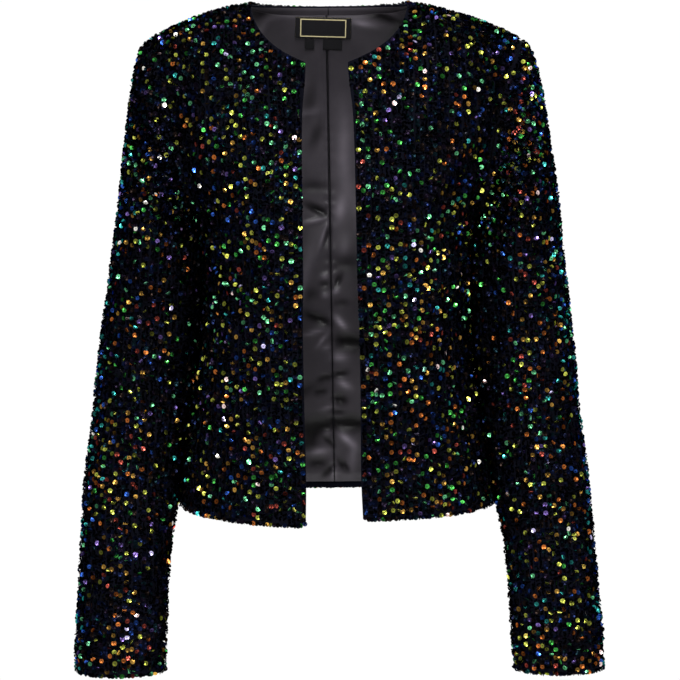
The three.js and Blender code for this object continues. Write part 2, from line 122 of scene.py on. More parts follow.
# drop, and how far the left and right sleeves' inner sides swell to lie against the body
SLEEVE_PRESS = np.array([
    [200, 0, 0], [225, 2.5, 2.5], [255, 4.1, 3.5], [285, 4.0, 2.9], [315, 4.1, 2.6], [345, 4.4, 2.6],
    [375, 3.9, 2.0], [390, 4.3, 2.5], [420, 4.2, 3.1], [435, 3.7, 3.1], [460, 3.1, 2.8],
    [500, 2.8, 2.7], [512, 2.2, 2.2], [530, 0, 0], [700, 0, 0]])

# Large soft folds: side, place, drop, turn, length, width, rise
FRONT_FOLDS = np.array([
    [1, 118, 150, 62, 70, 12, 3.5], [1, 96, 300, 70, 60, 13, 2.5], [1, 118, 445, 84, 55, 16, 3],
    [1, 62, 440, 92, 80, 20, -2], [-1, 104, 330, 110, 60, 14, 2.5], [-1, 78, 455, 88, 60, 18, 3],
    [-1, 120, 170, 112, 45, 12, -2.5], [-1, 50, 250, 95, 90, 16, 2]])
BACK_FOLDS = np.array([
    [1, 60, 450, 88, 75, 18, 3.5], [1, 112, 460, 84, 60, 15, 3], [1, 95, 320, 30, 45, 11, 2.5],
    [-1, 68, 445, 93, 75, 18, 3.5], [-1, 118, 455, 97, 60, 15, 3], [-1, 90, 335, -28, 45, 11, 2.5]])
SLEEVE_FOLDS = np.array([
    [1, 62, 352, 24, 42, 10, 3], [1, 80, 398, -18, 38, 10, 2.5], [1, 300, 372, 12, 44, 11, 2.5],
    [1, 44, 602, 40, 34, 10, 2.5], [1, 30, 160, 74, 60, 13, 3], [-1, 58, 366, 20, 42, 10, 3],
    [-1, 84, 410, -22, 38, 10, 2.5], [-1, 296, 356, 10, 44, 11, 2.5], [-1, 78, 610, 36, 36, 11, 3],
    [-1, 50, 505, -30, 34, 10, 2]])


def unit(a):
    """Vectors divided by their own lengths."""
    return a / np.linalg.norm(a, axis=-1, keepdims=True)


def ease(x, start, end):
    """0 before start, 1 after end, and a smooth S between."""
    t = np.clip((x - start) / (end - start), 0, 1)
    return t * t * (3 - 2 * t)


def mix(a, b, share):
    """The value a share of the way from a to b."""
    return a + (b - a) * share


def sample(rows, key):
    """Every column of a table where its first column is key: cubic pieces whose end slopes are
    those of the chords between the rows on each side."""
    keys = rows[:, 0]
    ahead = 1 if keys[-1] > keys[0] else -1
    i = np.clip(np.searchsorted(keys * ahead, key * ahead, side="right") - 1, 0, len(keys) - 2)
    place = np.arange(len(keys))
    low, high = np.maximum(place - 1, 0), np.minimum(place + 1, len(keys) - 1)
    slope = (rows[high] - rows[low]) / (keys[high] - keys[low])[:, None]
    span = (keys[i + 1] - keys[i])[:, None]
    s = (key - keys[i])[:, None] / span
    return (rows[i] * (1 + 2 * s) * (1 - s) ** 2 + rows[i + 1] * s * s * (3 - 2 * s)
            + slope[i] * span * s * (1 - s) ** 2 - slope[i + 1] * span * s * s * (1 - s))


def bezier(a, b, c, d, s):
    """The point at share s of the cubic curve with control points a, b, c and d."""
    r = 1 - s
    return a * r ** 3 + 3 * b * r * r * s + 3 * c * r * s * s + d * s ** 3


def settle(p, fade):
    """Slips the jacket to one side at the shoulders, leans it below, and drops the left shoulder."""
    drop = NECK_END_HEIGHT - p[..., 2]
    shoulder = ease(p[..., 0], *SHOULDER_ACROSS) * (1 - ease(drop, *SHOULDER_FADE))
    outside = ease(np.abs(p[..., 0]), *SLIP_ACROSS)
    slip = mix(SLIP_CENTRE, SLIP_OUTSIDE * (1 - ease(drop, *fade)), outside)
    moved = p.copy()
    moved[..., 2] -= LEFT_SHOULDER_FALL * shoulder
    moved[..., 0] += slip + LEAN_SLOPE * (drop - LEAN_DROP)
    return moved


UNDERARM = len(SIDE_SEAM) - 1
CHEST = UNDERARM + len(FRONT_ARMHOLE) - 1
TOP = CHEST + 1
FRONT_CUT = dict(centre=CENTRE_FRONT, armhole=FRONT_ARMHOLE, neckline=FRONT_NECKLINE,
                 arrival=FRONT_ARRIVAL, neck_share=FRONT_NECK_SHARE, side_turn=90,
                 hem_lift=(6, 0), corner=2.5)
BACK_CUT = dict(centre=CENTRE_BACK, armhole=BACK_ARMHOLE, neckline=BACK_NECKLINE,
                arrival=BACK_ARRIVAL, neck_share=BACK_NECK_SHARE, side_turn=-90,
                hem_lift=(0, 0), corner=0)


def from_drop(rows):
    """Points x, y, height from rows of drop, x, y: the height is the neck end's less the drop."""
    return np.stack([rows[:, 1], rows[:, 2], NECK_END_HEIGHT - rows[:, 0]], axis=-1)


def numbered(rows):
    """A table with the number of each row put before it."""
    return np.column_stack([np.arange(len(rows)), rows])


def level_sections(cut, v, u):
    """Level sections of half a panel at keys v: at each, a cubic curve from the centre edge to the
    side seam or armhole, leaving both along their turns by a fixed share of the chord in plan."""
    centre = sample(numbered(cut["centre"]), v)[:, 1:]
    side = sample(numbered(SIDE_SEAM), np.minimum(v, UNDERARM))[:, 1:]
    side = np.column_stack([side, np.full(len(v), cut["side_turn"])])
    hole = sample(numbered(cut["armhole"]), np.maximum(v - UNDERARM, 0))[:, 1:]
    outer = np.where((v <= UNDERARM)[:, None], side, hole)
    start, end = from_drop(centre), from_drop(outer)
    reach = FULLNESS * np.linalg.norm(end[:, :2] - start[:, :2], axis=1)
    handles = []
    for p, edge, sign, share in ((start, centre, 1, 1 / 3), (end, outer, -1, 2 / 3)):
        turn = np.radians(edge[:, 3])
        handles.append(np.stack([p[:, 0] + sign * reach * np.cos(turn),
                                 p[:, 1] + sign * reach * np.sin(turn),
                                 mix(start[:, 2], end[:, 2], share)], axis=-1))
    return bezier(*(p[:, None, :] for p in (start, *handles, end)), u[None, :, None])


def half_panel(cut, u, v):
    """Half a panel on a grid: level sections up to the chest, then for each u a cubic curve from the
    chest to the neckline or shoulder seam, arriving along the heading of its table."""
    body = level_sections(cut, np.minimum(v, CHEST), u)
    low = level_sections(cut, np.array([float(CHEST)]), u)[0]
    under = level_sections(cut, np.array([CHEST - STEP_BELOW_CHEST]), u)[0]
    share = cut["neck_share"]
    neck = bezier(*from_drop(cut["neckline"])[:, None, :], np.clip(u / share, 0, 1)[:, None])
    along = np.clip((u - share) / (1 - share), 0, 1)[:, None]
    shoulder = bezier(*from_drop(SHOULDER_SEAM)[:, None, :], along)
    top = np.where((u < share)[:, None], neck, shoulder)
    chord = np.linalg.norm(top - low, axis=1, keepdims=True)
    near_neck = 1 - ease(np.abs(u - share), 0, NECK_NEARNESS)[:, None]
    reach = mix(REACH_TOP, REACH_NECK, near_neck) * chord
    heading = unit(sample(cut["arrival"], u)[:, 1:])
    climb = np.clip(v - CHEST, 0, 1)[:, None, None]
    rising = low + unit(low - under) * REACH_LOW * chord
    yoke = bezier(low, rising, top - heading * reach, top, climb)
    return np.where((v <= CHEST)[:, None, None], body, yoke)


def ridges(folds, across, drop, unit_size=1.0):
    """The summed height of long soft ridges, each a bell along its length and across its width."""
    height = np.zeros(np.broadcast(across, drop).shape)
    for place, fold_drop, turn, length, width, rise in folds:
        turn = math.radians(turn)
        dx, dz = (across - place) * unit_size, fold_drop - drop
        along = (dx * math.cos(turn) + dz * math.sin(turn)) / length
        aside = (dz * math.cos(turn) - dx * math.sin(turn)) / width
        height += rise * np.exp(-along ** 2 - aside ** 2)
    return height


def outward(grid, round_arm=False):
    """Unit directions square to a grid of points: the slope along a row crossed with that up it."""
    if round_arm:
        along = np.roll(grid, -1, axis=1) - np.roll(grid, 1, axis=1)
    else:
        along = np.gradient(grid, axis=1)
    return unit(np.cross(along, np.gradient(grid, axis=0)))


def spans(grid, axis):
    """Running length of a grid's lines along an axis, from the first point of each."""
    steps = np.linalg.norm(np.diff(grid, axis=axis), axis=-1)
    pad = [(0, 0), (0, 0)]
    pad[axis] = (1, 0)
    return np.pad(np.cumsum(steps, axis=axis), pad)


# Keys of the grid's rows: close together at the hem, then even steps between the tables' rows
HEM_ROWS = [0.03, 0.04, 0.052, 0.068, 0.084]
ROW_STEPS = [2, 2, 3, 2, 2, 1, 1, 1, 2, 7]
ROWS = np.concatenate([HEM_ROWS] + [key + np.arange(1, FINE * n + 1) / (FINE * n)
                                    for key, n in enumerate(ROW_STEPS)])
UNDERARM_ROW, CHEST_ROW = (int(np.searchsorted(ROWS, key - 1e-9)) for key in (UNDERARM, CHEST))
EDGE_SHARES = [0, 0.004, 0.009, 0.015]


def shares(neck_share, count, neck_count):
    """Shares across half a panel, close together at its centre edge, with one at the neck end, and
    the number of columns up to that one."""
    neck = np.linspace(0, neck_share, neck_count + 1)[1:]
    rest = np.linspace(neck_share, 1, count - neck_count + 1)[1:]
    return np.concatenate([EDGE_SHARES, neck, rest]), len(EDGE_SHARES) + neck_count


def panel(cut, u, side, folds, rows=ROWS):
    """A panel's outer points: signed shares u across, rows from the hem up, with its folds raised
    along the outward direction and eased away at the seams."""
    points = np.empty((len(rows), len(u), 3))
    for hand in (1, -1):
        mine = side == hand
        if mine.any():
            points[:, mine] = half_panel(cut, u[mine], rows)
    lift = np.where(side > 0, *cut["hem_lift"]) * (1 - u) * (1 - ease(rows, 0, 3))[:, None]
    climb = np.where(side > 0, *SIDE_RISE) * ease(u, SIDE_START, 1)
    lift = lift + climb * (1 - ease(rows, 0, 1))[:, None]
    rounded = (1 - ease(u, 0, CORNER_ACROSS)) * (1 - ease(rows, *CORNER_ROWS))[:, None]
    lift = lift + cut["corner"] * rounded
    points[..., 0] *= side
    points[..., 2] += lift
    points = settle(points, BODY_SLIP_FADE)
    from_seam = np.minimum(np.minimum(1, (1 - u) * 6), (TOP - rows)[:, None] * 3)
    height = np.zeros(points.shape[:2])
    for hand in (1, -1):
        own = folds[folds[:, 0] == hand][:, 1:]
        raised = ridges(own, np.abs(points[..., 0]), NECK_END_HEIGHT - points[..., 2])
        height += np.where(side == hand, raised, 0)
    return points + outward(points) * (from_seam * height)[..., None]


front_u, front_neck = shares(FRONT_NECK_SHARE, 48, 21)
back_u, back_neck = shares(BACK_NECK_SHARE, 42, 18)
left_front = panel(FRONT_CUT, front_u, np.ones(len(front_u)), FRONT_FOLDS)
right_front = panel(FRONT_CUT, front_u[::-1], -np.ones(len(front_u)), FRONT_FOLDS)
back_shares = np.concatenate([back_u[::-1], back_u[1:]])
back_sides = np.concatenate([np.ones(len(back_u)), -np.ones(len(back_u) - 1)])
back = panel(BACK_CUT, back_shares, back_sides, BACK_FOLDS)


def armhole(front_edge, back_edge):
    """The armhole's points, down the front from the shoulder and up the back from the underarm,
    with the panels' seam ends met half way."""
    ahead, behind = front_edge[UNDERARM_ROW:][::-1], back_edge[UNDERARM_ROW:]
    shoulder, underarm = (ahead[0] + behind[-1]) / 2, (ahead[-1] + behind[0]) / 2
    return np.concatenate([[shoulder], ahead[1:-1], [underarm], behind[1:-1]])


def sleeve(side, edge, inner_edge):
    """A sleeve's outer points in rings from the cuff up. Below, each ring is an ellipse of its
    table; above, each line is a cubic curve that leaves the armhole as its table says and comes
    down onto the first ring."""
    count = len(edge)
    lengths = np.linalg.norm(np.roll(edge, -1, axis=0) - edge, axis=1)
    run = np.concatenate([[0], np.cumsum(lengths)])
    half = run[count // 2]
    angles = np.where(np.arange(count) <= count // 2, 180 * run[:-1] / half,
                      180 + 180 * (run[:-1] - half) / (run[-1] - half))
    turn = np.radians(angles)[None, :]

    def rings(drops):
        """The rings' points: x and y by cosine and sine of the angle, times the half sizes."""
        ring = sample(SLEEVE_LEVELS, drops)[:, :, None]
        x = side * (ring[:, 1] + ring[:, 3] * np.cos(turn))
        y = ring[:, 2] - ring[:, 4] * np.sin(turn)
        z = np.broadcast_to(NECK_END_HEIGHT - drops[:, None], x.shape)
        return settle(np.stack([x, y, z], axis=-1), SLEEVE_SLIP_FADE)

    first, last = SLEEVE_LEVELS[0, 0], SLEEVE_LEVELS[-1, 0]
    tangent = np.roll(edge, -1, axis=0) - np.roll(edge, 1, axis=0)
    across = unit(np.cross(edge - inner_edge, tangent))
    start = edge + across * side * SEAM_GAP
    leave = sample(CAP_DEPARTURE, angles)
    heading = unit(leave[:, 1:4]) * [side, 1, 1]
    end, below = rings(np.array([first, first + RING_STEP]))
    arrive = unit(end - below)
    s = np.linspace(1, 0, CAP_STEPS * FINE + 1)[:, None, None]
    cap = bezier(start, start + heading * leave[:, 4:5], end + arrive * leave[:, 5:6], end, s)
    drops = np.linspace(last, first, ARM_STEPS * FINE + 1)[1:-1]
    drops = np.concatenate([last - CUFF_TURN, drops])
    points = np.concatenate([rings(drops), cap])
    if side > 0:
        points, angles = points[:, ::-1], angles[::-1]
    drop = NECK_END_HEIGHT - points[..., 2]
    swell = np.interp(drop, SLEEVE_PRESS[:, 0], SLEEVE_PRESS[:, 1 if side > 0 else 2])
    points[..., 0] -= side * swell * (0.5 - 0.5 * np.cos(np.radians(angles))) ** 3
    own = SLEEVE_FOLDS[SLEEVE_FOLDS[:, 0] == side][:, 1:]
    height = ridges(own, angles[None, :], drop, DEGREE_ON_SLEEVE)
    from_seam = np.clip(np.arange(len(points))[::-1] / (CAP_FOLD_STEPS * FINE), 0, 1)[:, None]
    return points + outward(points, True) * (from_seam * height)[..., None], angles


def inner_points(grid):
    """A panel's back face: its points moved in along their outward directions."""
    return grid + BACK_FACE * outward(grid)


left_hole = armhole(left_front[:, -1], back[:, 0])
left_hole_inner = armhole(inner_points(left_front)[:, -1], inner_points(back)[:, 0])
right_hole = armhole(right_front[:, 0], back[:, -1])
right_hole_inner = armhole(inner_points(right_front)[:, 0], inner_points(back)[:, -1])
left_sleeve, left_angles = sleeve(1, left_hole, left_hole_inner)
right_sleeve, right_angles = sleeve(-1, right_hole, right_hole_inner)


# Meshes
RIM_BULGE = 0.45  # how far a rim stands out, as a share of the cloth's thickness
MAP_UNIT = 100  # millimetres to one unit of a cloth's UV map


def new_piece(name, verts, faces, materials, replaces=()):
    """A piece on the jacket's body, from points in millimetres and faces."""
    mesh = bpy.data.meshes.new(name)
    mesh.from_pydata((verts / 1000).tolist(), [], faces.tolist())
    for material in materials:
        mesh.materials.append(material)
    piece = bpy.data.objects.new(name, mesh)
    bpy.context.collection.objects.link(piece)
    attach(piece, "root")
    if replaces:
        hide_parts(*replaces)
    return piece


def shell(outer, inner, round_arm=False):
    """A closed shell between two like grids. Its open edges get a rounded rim: one more line half
    way between the faces, pushed out along the cloth."""
    rows, columns = outer.shape[:2]
    index = np.arange(rows * columns).reshape(rows, columns)
    wrap = np.concatenate([index, index[:, :1]], axis=1) if round_arm else index
    a, b, c, d = wrap[:-1, :-1], wrap[:-1, 1:], wrap[1:, 1:], wrap[1:, :-1]
    face = np.stack([a, b, c, d], axis=-1).reshape(-1, 4)
    loops = ([index[0], index[-1][::-1]] if round_arm else
             [np.concatenate([index[0], index[1:, -1], index[-1, -2::-1], index[-2:0:-1, 0]])])
    inward = np.empty_like(index)
    inward[:] = index
    inward[0], inward[-1] = index[1], index[-2]
    if not round_arm:
        inward[:, 0], inward[:, -1] = index[:, 1], index[:, -2]
    total = rows * columns
    flat_outer, flat_inner = outer.reshape(-1, 3), inner.reshape(-1, 3)
    verts, faces, rims = [flat_outer, flat_inner], [face, face[:, ::-1] + total], []
    base = 2 * total
    for loop in loops:
        top, low = flat_outer[loop], flat_inner[loop]
        away = unit(top - flat_outer[inward.reshape(-1)[loop]])
        thick = np.linalg.norm(top - low, axis=1, keepdims=True)
        verts.append((top + low) / 2 + away * thick * RIM_BULGE)
        middle = base + np.arange(len(loop))
        base += len(loop)
        ahead = np.roll(np.arange(len(loop)), -1)
        rims.append(np.stack([loop[ahead], loop, middle, middle[ahead]], axis=-1))
        rims.append(np.stack([middle[ahead], middle, loop + total, loop[ahead] + total], axis=-1))
    return np.concatenate(verts), np.concatenate(faces + rims), len(face)


def put_uv(piece, name, uv):
    """Writes a UV map from one pair for each vertex."""
    mesh = piece.data
    corners = np.empty(len(mesh.loops), dtype=np.int32)
    mesh.loops.foreach_get("vertex_index", corners)
    layer = mesh.uv_layers.new(name=name)
    layer.data.foreach_set("uv", uv[corners].astype(np.float32).ravel())


def cloth_piece(name, grid, offsets, uv_grid, materials, replaces, round_arm=False,
                hem_rows=0):
    """A sheet of cloth: the grid moved along its outward directions to its two faces. The first
    material is on its outside and rims and on the rows turned in at its hem, the second inside."""
    out = outward(grid, round_arm)
    outer, inner = grid + out * offsets[0][..., None], grid + out * offsets[1][..., None]
    verts, faces, count = shell(outer, inner, round_arm)
    piece = new_piece(name, verts, faces, materials, replaces)
    kinds = np.zeros(len(faces), dtype=np.int32)
    kinds[count + hem_rows * (count // (len(grid) - 1)):2 * count] = len(materials) - 1
    piece.data.polygons.foreach_set("material_index", kinds)
    piece.data.polygons.foreach_set("use_smooth", np.ones(len(faces), dtype=bool))
    flat = uv_grid.reshape(-1, 2) / MAP_UNIT
    extra = len(verts) - 2 * len(flat)
    put_uv(piece, "cloth", np.concatenate([flat, flat, np.zeros((extra, 2))]))
    return piece


# Sequins
SEQUIN_RADIUS, SEQUIN_HOLE, SEQUIN_CUP = 2.4, 0.6, 0.4
ROW_PITCH, SEQUIN_PITCH, EDGE_PITCH = 4.5, 4.1, 3.4
RIM_SIDES = 10
ROW_WANDER = 0.7  # millimetres by which a line of sequins wanders, by its larger wave
EVEN_STEPS = 0.7549, 0.5698  # steps to the next line and the next sequin that spread a number evenly
SEQUIN_JITTER, EDGE_JITTER, SIZE_SPREAD = 0.35, 0.4, 0.04
# Degrees that steep sequins are tipped, and the spread, least and most of the flat ones' tips
STEEP_TIPS, FLAT_SPREAD, LEAST_TIP, MOST_TIP = (38, 66), 17, 3, 40
# How far sequins sit from the panel's surface, and how much of a tipped one's radius lifts it
SEATS, TIP_LIFT, EDGE_LIFT = (-1.4, -1.0), 0.4, 0.5
# Shares of sequins painted as catching the light, of faint painted glints among the lit ones, of
# painted white glints, and of steep ones
LIT_SHARE, FAINT_GLINT_SHARE, WHITE_GLINT_SHARE, STEEP_SHARE = 0.232, 0.56, 0.0065, 0.5
# What adds to the chance that a sequin is painted as catching the light: nearness to the opening, the
# cuff, a sideways heading
OPENING_GAIN, CUFF_GAIN, SIDE_GAIN, CHANCE_JITTER = 0.1, 0.4, 0.7, 0.07
SIDE_HEADING, FRONT_HEADING = (0.6, 0.97), (0.2, 0.7)
SIDE_X, OPENING_X = (175, 215), (55, 125)
HIGH_DROP, LOW_DROP, CUFF_DROP = (120, 330), (230, 560), (625, 650)
# Brightness of the painted glints: of faint ones, least, span and power of vivid ones, and gains by
# tip and heading, a painted dimming of sideways ones; and the spread of the unlit ones' own tone
FAINT_GLINT_BRIGHTNESS, VIVID_LEAST, VIVID_SPAN, VIVID_POWER = (0.06, 0.3), 0.16, 0.66, 1.2
STEEP_BRIGHTNESS, FLAT_BRIGHTNESS, SIDE_DIMMING, UNLIT_BRIGHTNESS = 2.4, 0.85, 0.35, (0.15, 1.0)


def srgb(*colours):
    """Linear colours from display ones of 0 to 255, by the display's power of 2.4."""
    c = np.array(colours) / 255
    return np.where(c <= 0.04045, c / 12.92, ((c + 0.055) / 1.055) ** 2.4)


# Painted glint colours of the sequins that catch the light, own dark tints of those that don't, and
# the painted white glints of a few
LIT = srgb((240, 138, 66), (176, 78, 66), (226, 174, 82), (214, 222, 92), (76, 182, 80),
           (128, 236, 166), (64, 184, 178), (46, 84, 170), (128, 104, 180))
UNLIT = srgb((14, 16, 32), (9, 21, 26), (19, 14, 24), (8, 8, 10), (12, 18, 40), (22, 16, 14))
# Painted white glints, put on a few sequins in place of their colour
WHITE_GLINTS = srgb((255, 250, 240), (255, 224, 222), (218, 208, 255))
# Weights of each painted glint colour: always, then times warm, warm and low, warm and high, and
# sideways; then gains for steep and flat ones
TINT_WEIGHTS = np.array([
    [0, 0.6, 0.5, 0, 0], [0, 0.5, 0.2, 0, 0], [0, 0.85, 0.6, 0, 0], [0, 1.3, 0, 0.3, 0],
    [0, 0.6, 0, 1.4, 0], [0.65, 0, 0, 1.4, 0], [0.35, 0, 0, 0, 1.6], [0.55, 0, 0, 0, 2.2],
    [0.4, 0, 0, 0, 0]])
STEEP_GAINS = [0.5, 0.4, 0.5, 1.3, 1.5, 1.8, 1.6, 1.3, 1]
FLAT_GAINS = [1.2, 1.2, 1.2, 1.0, 0.65, 0.6, 0.7, 0.9, 1]
# x, drop, half width, half height and depth of spots of painted shade, where fewer sequins are painted
# as catching the light, or of painted light, with more of them, where the depth is below nought
PAINTED_SHADE_SPOTS = [(-133, 318, 14, 30, 1.0), (-142, 215, 10, 40, 0.6), (160, 306, 20, 40, 0.85),
           (-150, 420, 10, 60, 0.4), (150, 400, 12, 50, 0.4), (-172, 580, 17, 80, 0.85),
           (173, 570, 15, 80, 0.8), (-112, 60, 30, 20, 0.4), (150, 110, 20, 34, 0.4),
           (-70, 200, 26, 22, 0.35), (88, 128, 38, 58, 0.82), (-165, 125, 32, 72, 0.6),
           (-75, 110, 40, 60, -0.2), (80, 450, 60, 50, -0.2), (200, 420, 26, 70, -0.35)]
# x, drop, turn, length, width and gain of soft folds where the unlit sequins get a little painted
# gleam
PAINTED_GLEAMS = [(-187, 615, 45, 26, 9, 2.2), (118, 150, 62, 60, 5, 1.4), (-104, 330, 110, 50, 8, 0.8),
          (96, 300, 70, 50, 8, 0.8), (190, 350, 24, 30, 8, 1.2), (-190, 360, -20, 30, 8, 1.0)]


def tints_and_glints(place, out, evenly, steep):
    """A colour for each sequin: its own dark tint, or a painted glint where it is painted as catching
    the light. Its chance to catch the light is largest near the opening and the cuffs, comes in
    clusters by a product of two waves, and falls in the spots of painted shade. Sideways glints are
    blue and cyan and dimmer, steep ones brighter, steep ones and high ones near the opening green, low
    ones warm; a few sequins are painted white glints, and unlit ones on soft folds get a painted
    gleam."""
    count = len(place)
    x, drop = place[:, 0], NECK_END_HEIGHT - place[:, 2]
    sideways = ease(np.abs(out[:, 0]), *SIDE_HEADING) * ease(np.abs(x), *SIDE_X)
    inner = 1 - ease(np.abs(x), *OPENING_X)
    high = (1 - 0.7 * ease(drop, *HIGH_DROP)) * (0.08 + 0.92 * inner)
    low = ease(drop, *LOW_DROP)
    warm = 1 - sideways
    states = np.stack([np.ones(count), warm, warm * low, warm * high, sideways], axis=1)
    weights = states @ TINT_WEIGHTS.T * np.where(steep[:, None], STEEP_GAINS, FLAT_GAINS)
    weights = np.cumsum(weights / weights.sum(axis=1, keepdims=True), axis=1)
    pick = np.minimum((random.random(count)[:, None] > weights).sum(axis=1), len(LIT) - 1)
    wave = np.sin(x / 12 + 2 * np.sin(drop / 29))
    cluster = 1 + 0.55 * wave * np.sin(drop / 17 + 1.7 * np.sin(x / 21))
    cuff = ease(drop, *CUFF_DROP)
    chance = LIT_SHARE * cluster * (1 + OPENING_GAIN * inner + CUFF_GAIN * cuff + SIDE_GAIN * sideways)
    # Painted shade, or painted light where a depth is below nought
    for place_x, place_drop, wide, tall, depth in PAINTED_SHADE_SPOTS:
        near = np.exp(-((x - place_x) / wide) ** 2 - ((drop - place_drop) / tall) ** 2)
        chance *= 1 - depth * near
    faint_glint = random.random(count) < FAINT_GLINT_SHARE
    dim = random.uniform(*FAINT_GLINT_BRIGHTNESS, count)
    vivid = VIVID_LEAST + VIVID_SPAN * random.random(count) ** VIVID_POWER
    bright = np.where(faint_glint, dim, vivid)
    bright *= np.where(steep, STEEP_BRIGHTNESS, FLAT_BRIGHTNESS) * (1 - SIDE_DIMMING * sideways)
    dark = UNLIT[random.integers(0, len(UNLIT), count)]
    dark = dark * random.uniform(*UNLIT_BRIGHTNESS, count)[:, None]
    # Unlit sequins facing the front get a painted gleam on the soft folds
    front = ease(-out[:, 1], *FRONT_HEADING)
    dark *= 1 + front[:, None] * np.maximum(ridges(PAINTED_GLEAMS, x, drop), 0)[:, None]
    is_lit = (evenly + random.uniform(-CHANCE_JITTER, CHANCE_JITTER, count)) % 1 < chance
    colour = np.where(is_lit[:, None], LIT[pick] * bright[:, None], dark)
    # A few sequins get painted white glints
    white_glint = random.random(count) < WHITE_GLINT_SHARE
    colour[white_glint] = WHITE_GLINTS[random.integers(0, len(WHITE_GLINTS), white_glint.sum())]
    return colour


def strewn_lines(grid, grain):
    """Places for sequins: lines of constant grain at one pitch, each wandering a little, and on each
    line points at equal lengths. Returns the places as fractional rows and columns, with a number
    from 0 to 1 that is spread evenly over the cloth."""
    rows, columns = grain.shape
    low, high = grain.min(), grain.max()
    lines = np.arange(math.floor(low / ROW_PITCH), math.ceil(high / ROW_PITCH) + 1) * ROW_PITCH
    lines = lines + ROW_PITCH / 2
    height = np.arange(rows)[:, None]
    phase = random.uniform(0, 6.28, len(lines))
    wave = ROW_WANDER * (np.sin(height / 11 + phase / 3) + 0.6 * np.sin(height / 4.7 + phase))
    target = lines[None, :] + wave
    stretch = high - low + 1000
    keys = (grain + np.arange(rows)[:, None] * stretch).ravel()
    index = np.tile(np.arange(columns, dtype=float), rows)
    column = np.interp((target + height * stretch).ravel(), keys, index).reshape(target.shape)
    inside = (target > grain[:, :1]) & (target < grain[:, -1:])
    path = pick_at(grid, np.broadcast_to(height, column.shape).astype(float), column)
    steps = np.linalg.norm(np.diff(path, axis=0), axis=-1) + 1e-6
    run = np.concatenate([np.zeros((1, len(lines))), np.cumsum(steps, axis=0)])
    longest = run[-1].max()
    starts = random.uniform(0, SEQUIN_PITCH, len(lines))
    beads = np.arange(0, longest, SEQUIN_PITCH)[:, None] + starts
    beads = beads + random.normal(0, SEQUIN_JITTER, beads.shape)
    offset = np.arange(len(lines)) * (longest + 1000)
    flat_rows = np.tile(np.arange(rows, dtype=float), len(lines))
    row = np.interp((beads + offset).T.ravel(), (run + offset).T.ravel(), flat_rows)
    row = row.reshape(len(lines), -1).T
    bead_number = np.broadcast_to(np.arange(len(beads))[:, None], beads.shape)
    on_line = (beads > 0) & (beads < run[-1])
    line = np.broadcast_to(np.arange(len(lines)), row.shape)
    at = pick_at(column[..., None], row, line.astype(float))[..., 0]
    on_cloth = pick_at(inside[..., None].astype(float), row, line.astype(float))[..., 0] > 0.99
    kept = on_line & on_cloth
    evenly = (line * EVEN_STEPS[0] + bead_number * EVEN_STEPS[1]) % 1
    return row[kept], at[kept], evenly[kept]


def pick_at(grid, row, column):
    """Values between the points of a grid, straight along rows and columns."""
    r = np.clip(np.floor(row).astype(int), 0, grid.shape[0] - 2)
    c = np.clip(np.floor(column).astype(int), 0, grid.shape[1] - 2)
    fr, fc = (row - r)[..., None], (column - c)[..., None]
    low = grid[r, c] * (1 - fc) + grid[r, c + 1] * fc
    return low * (1 - fr) + (grid[r + 1, c] * (1 - fc) + grid[r + 1, c + 1] * fc) * fr


def edge_line(grid, row, first, last):
    """Places at equal lengths along one row of a grid, from one column to another."""
    step = np.arange(first, last + 1, dtype=float)
    run = spans(pick_at(grid, np.full(len(step), float(row)), step)[None], 1)[0]
    at = np.arange(EDGE_PITCH / 2, run[-1], EDGE_PITCH)
    at = at + random.normal(0, EDGE_JITTER, len(at))
    return np.full(len(at), float(row)), np.interp(at, run, step)


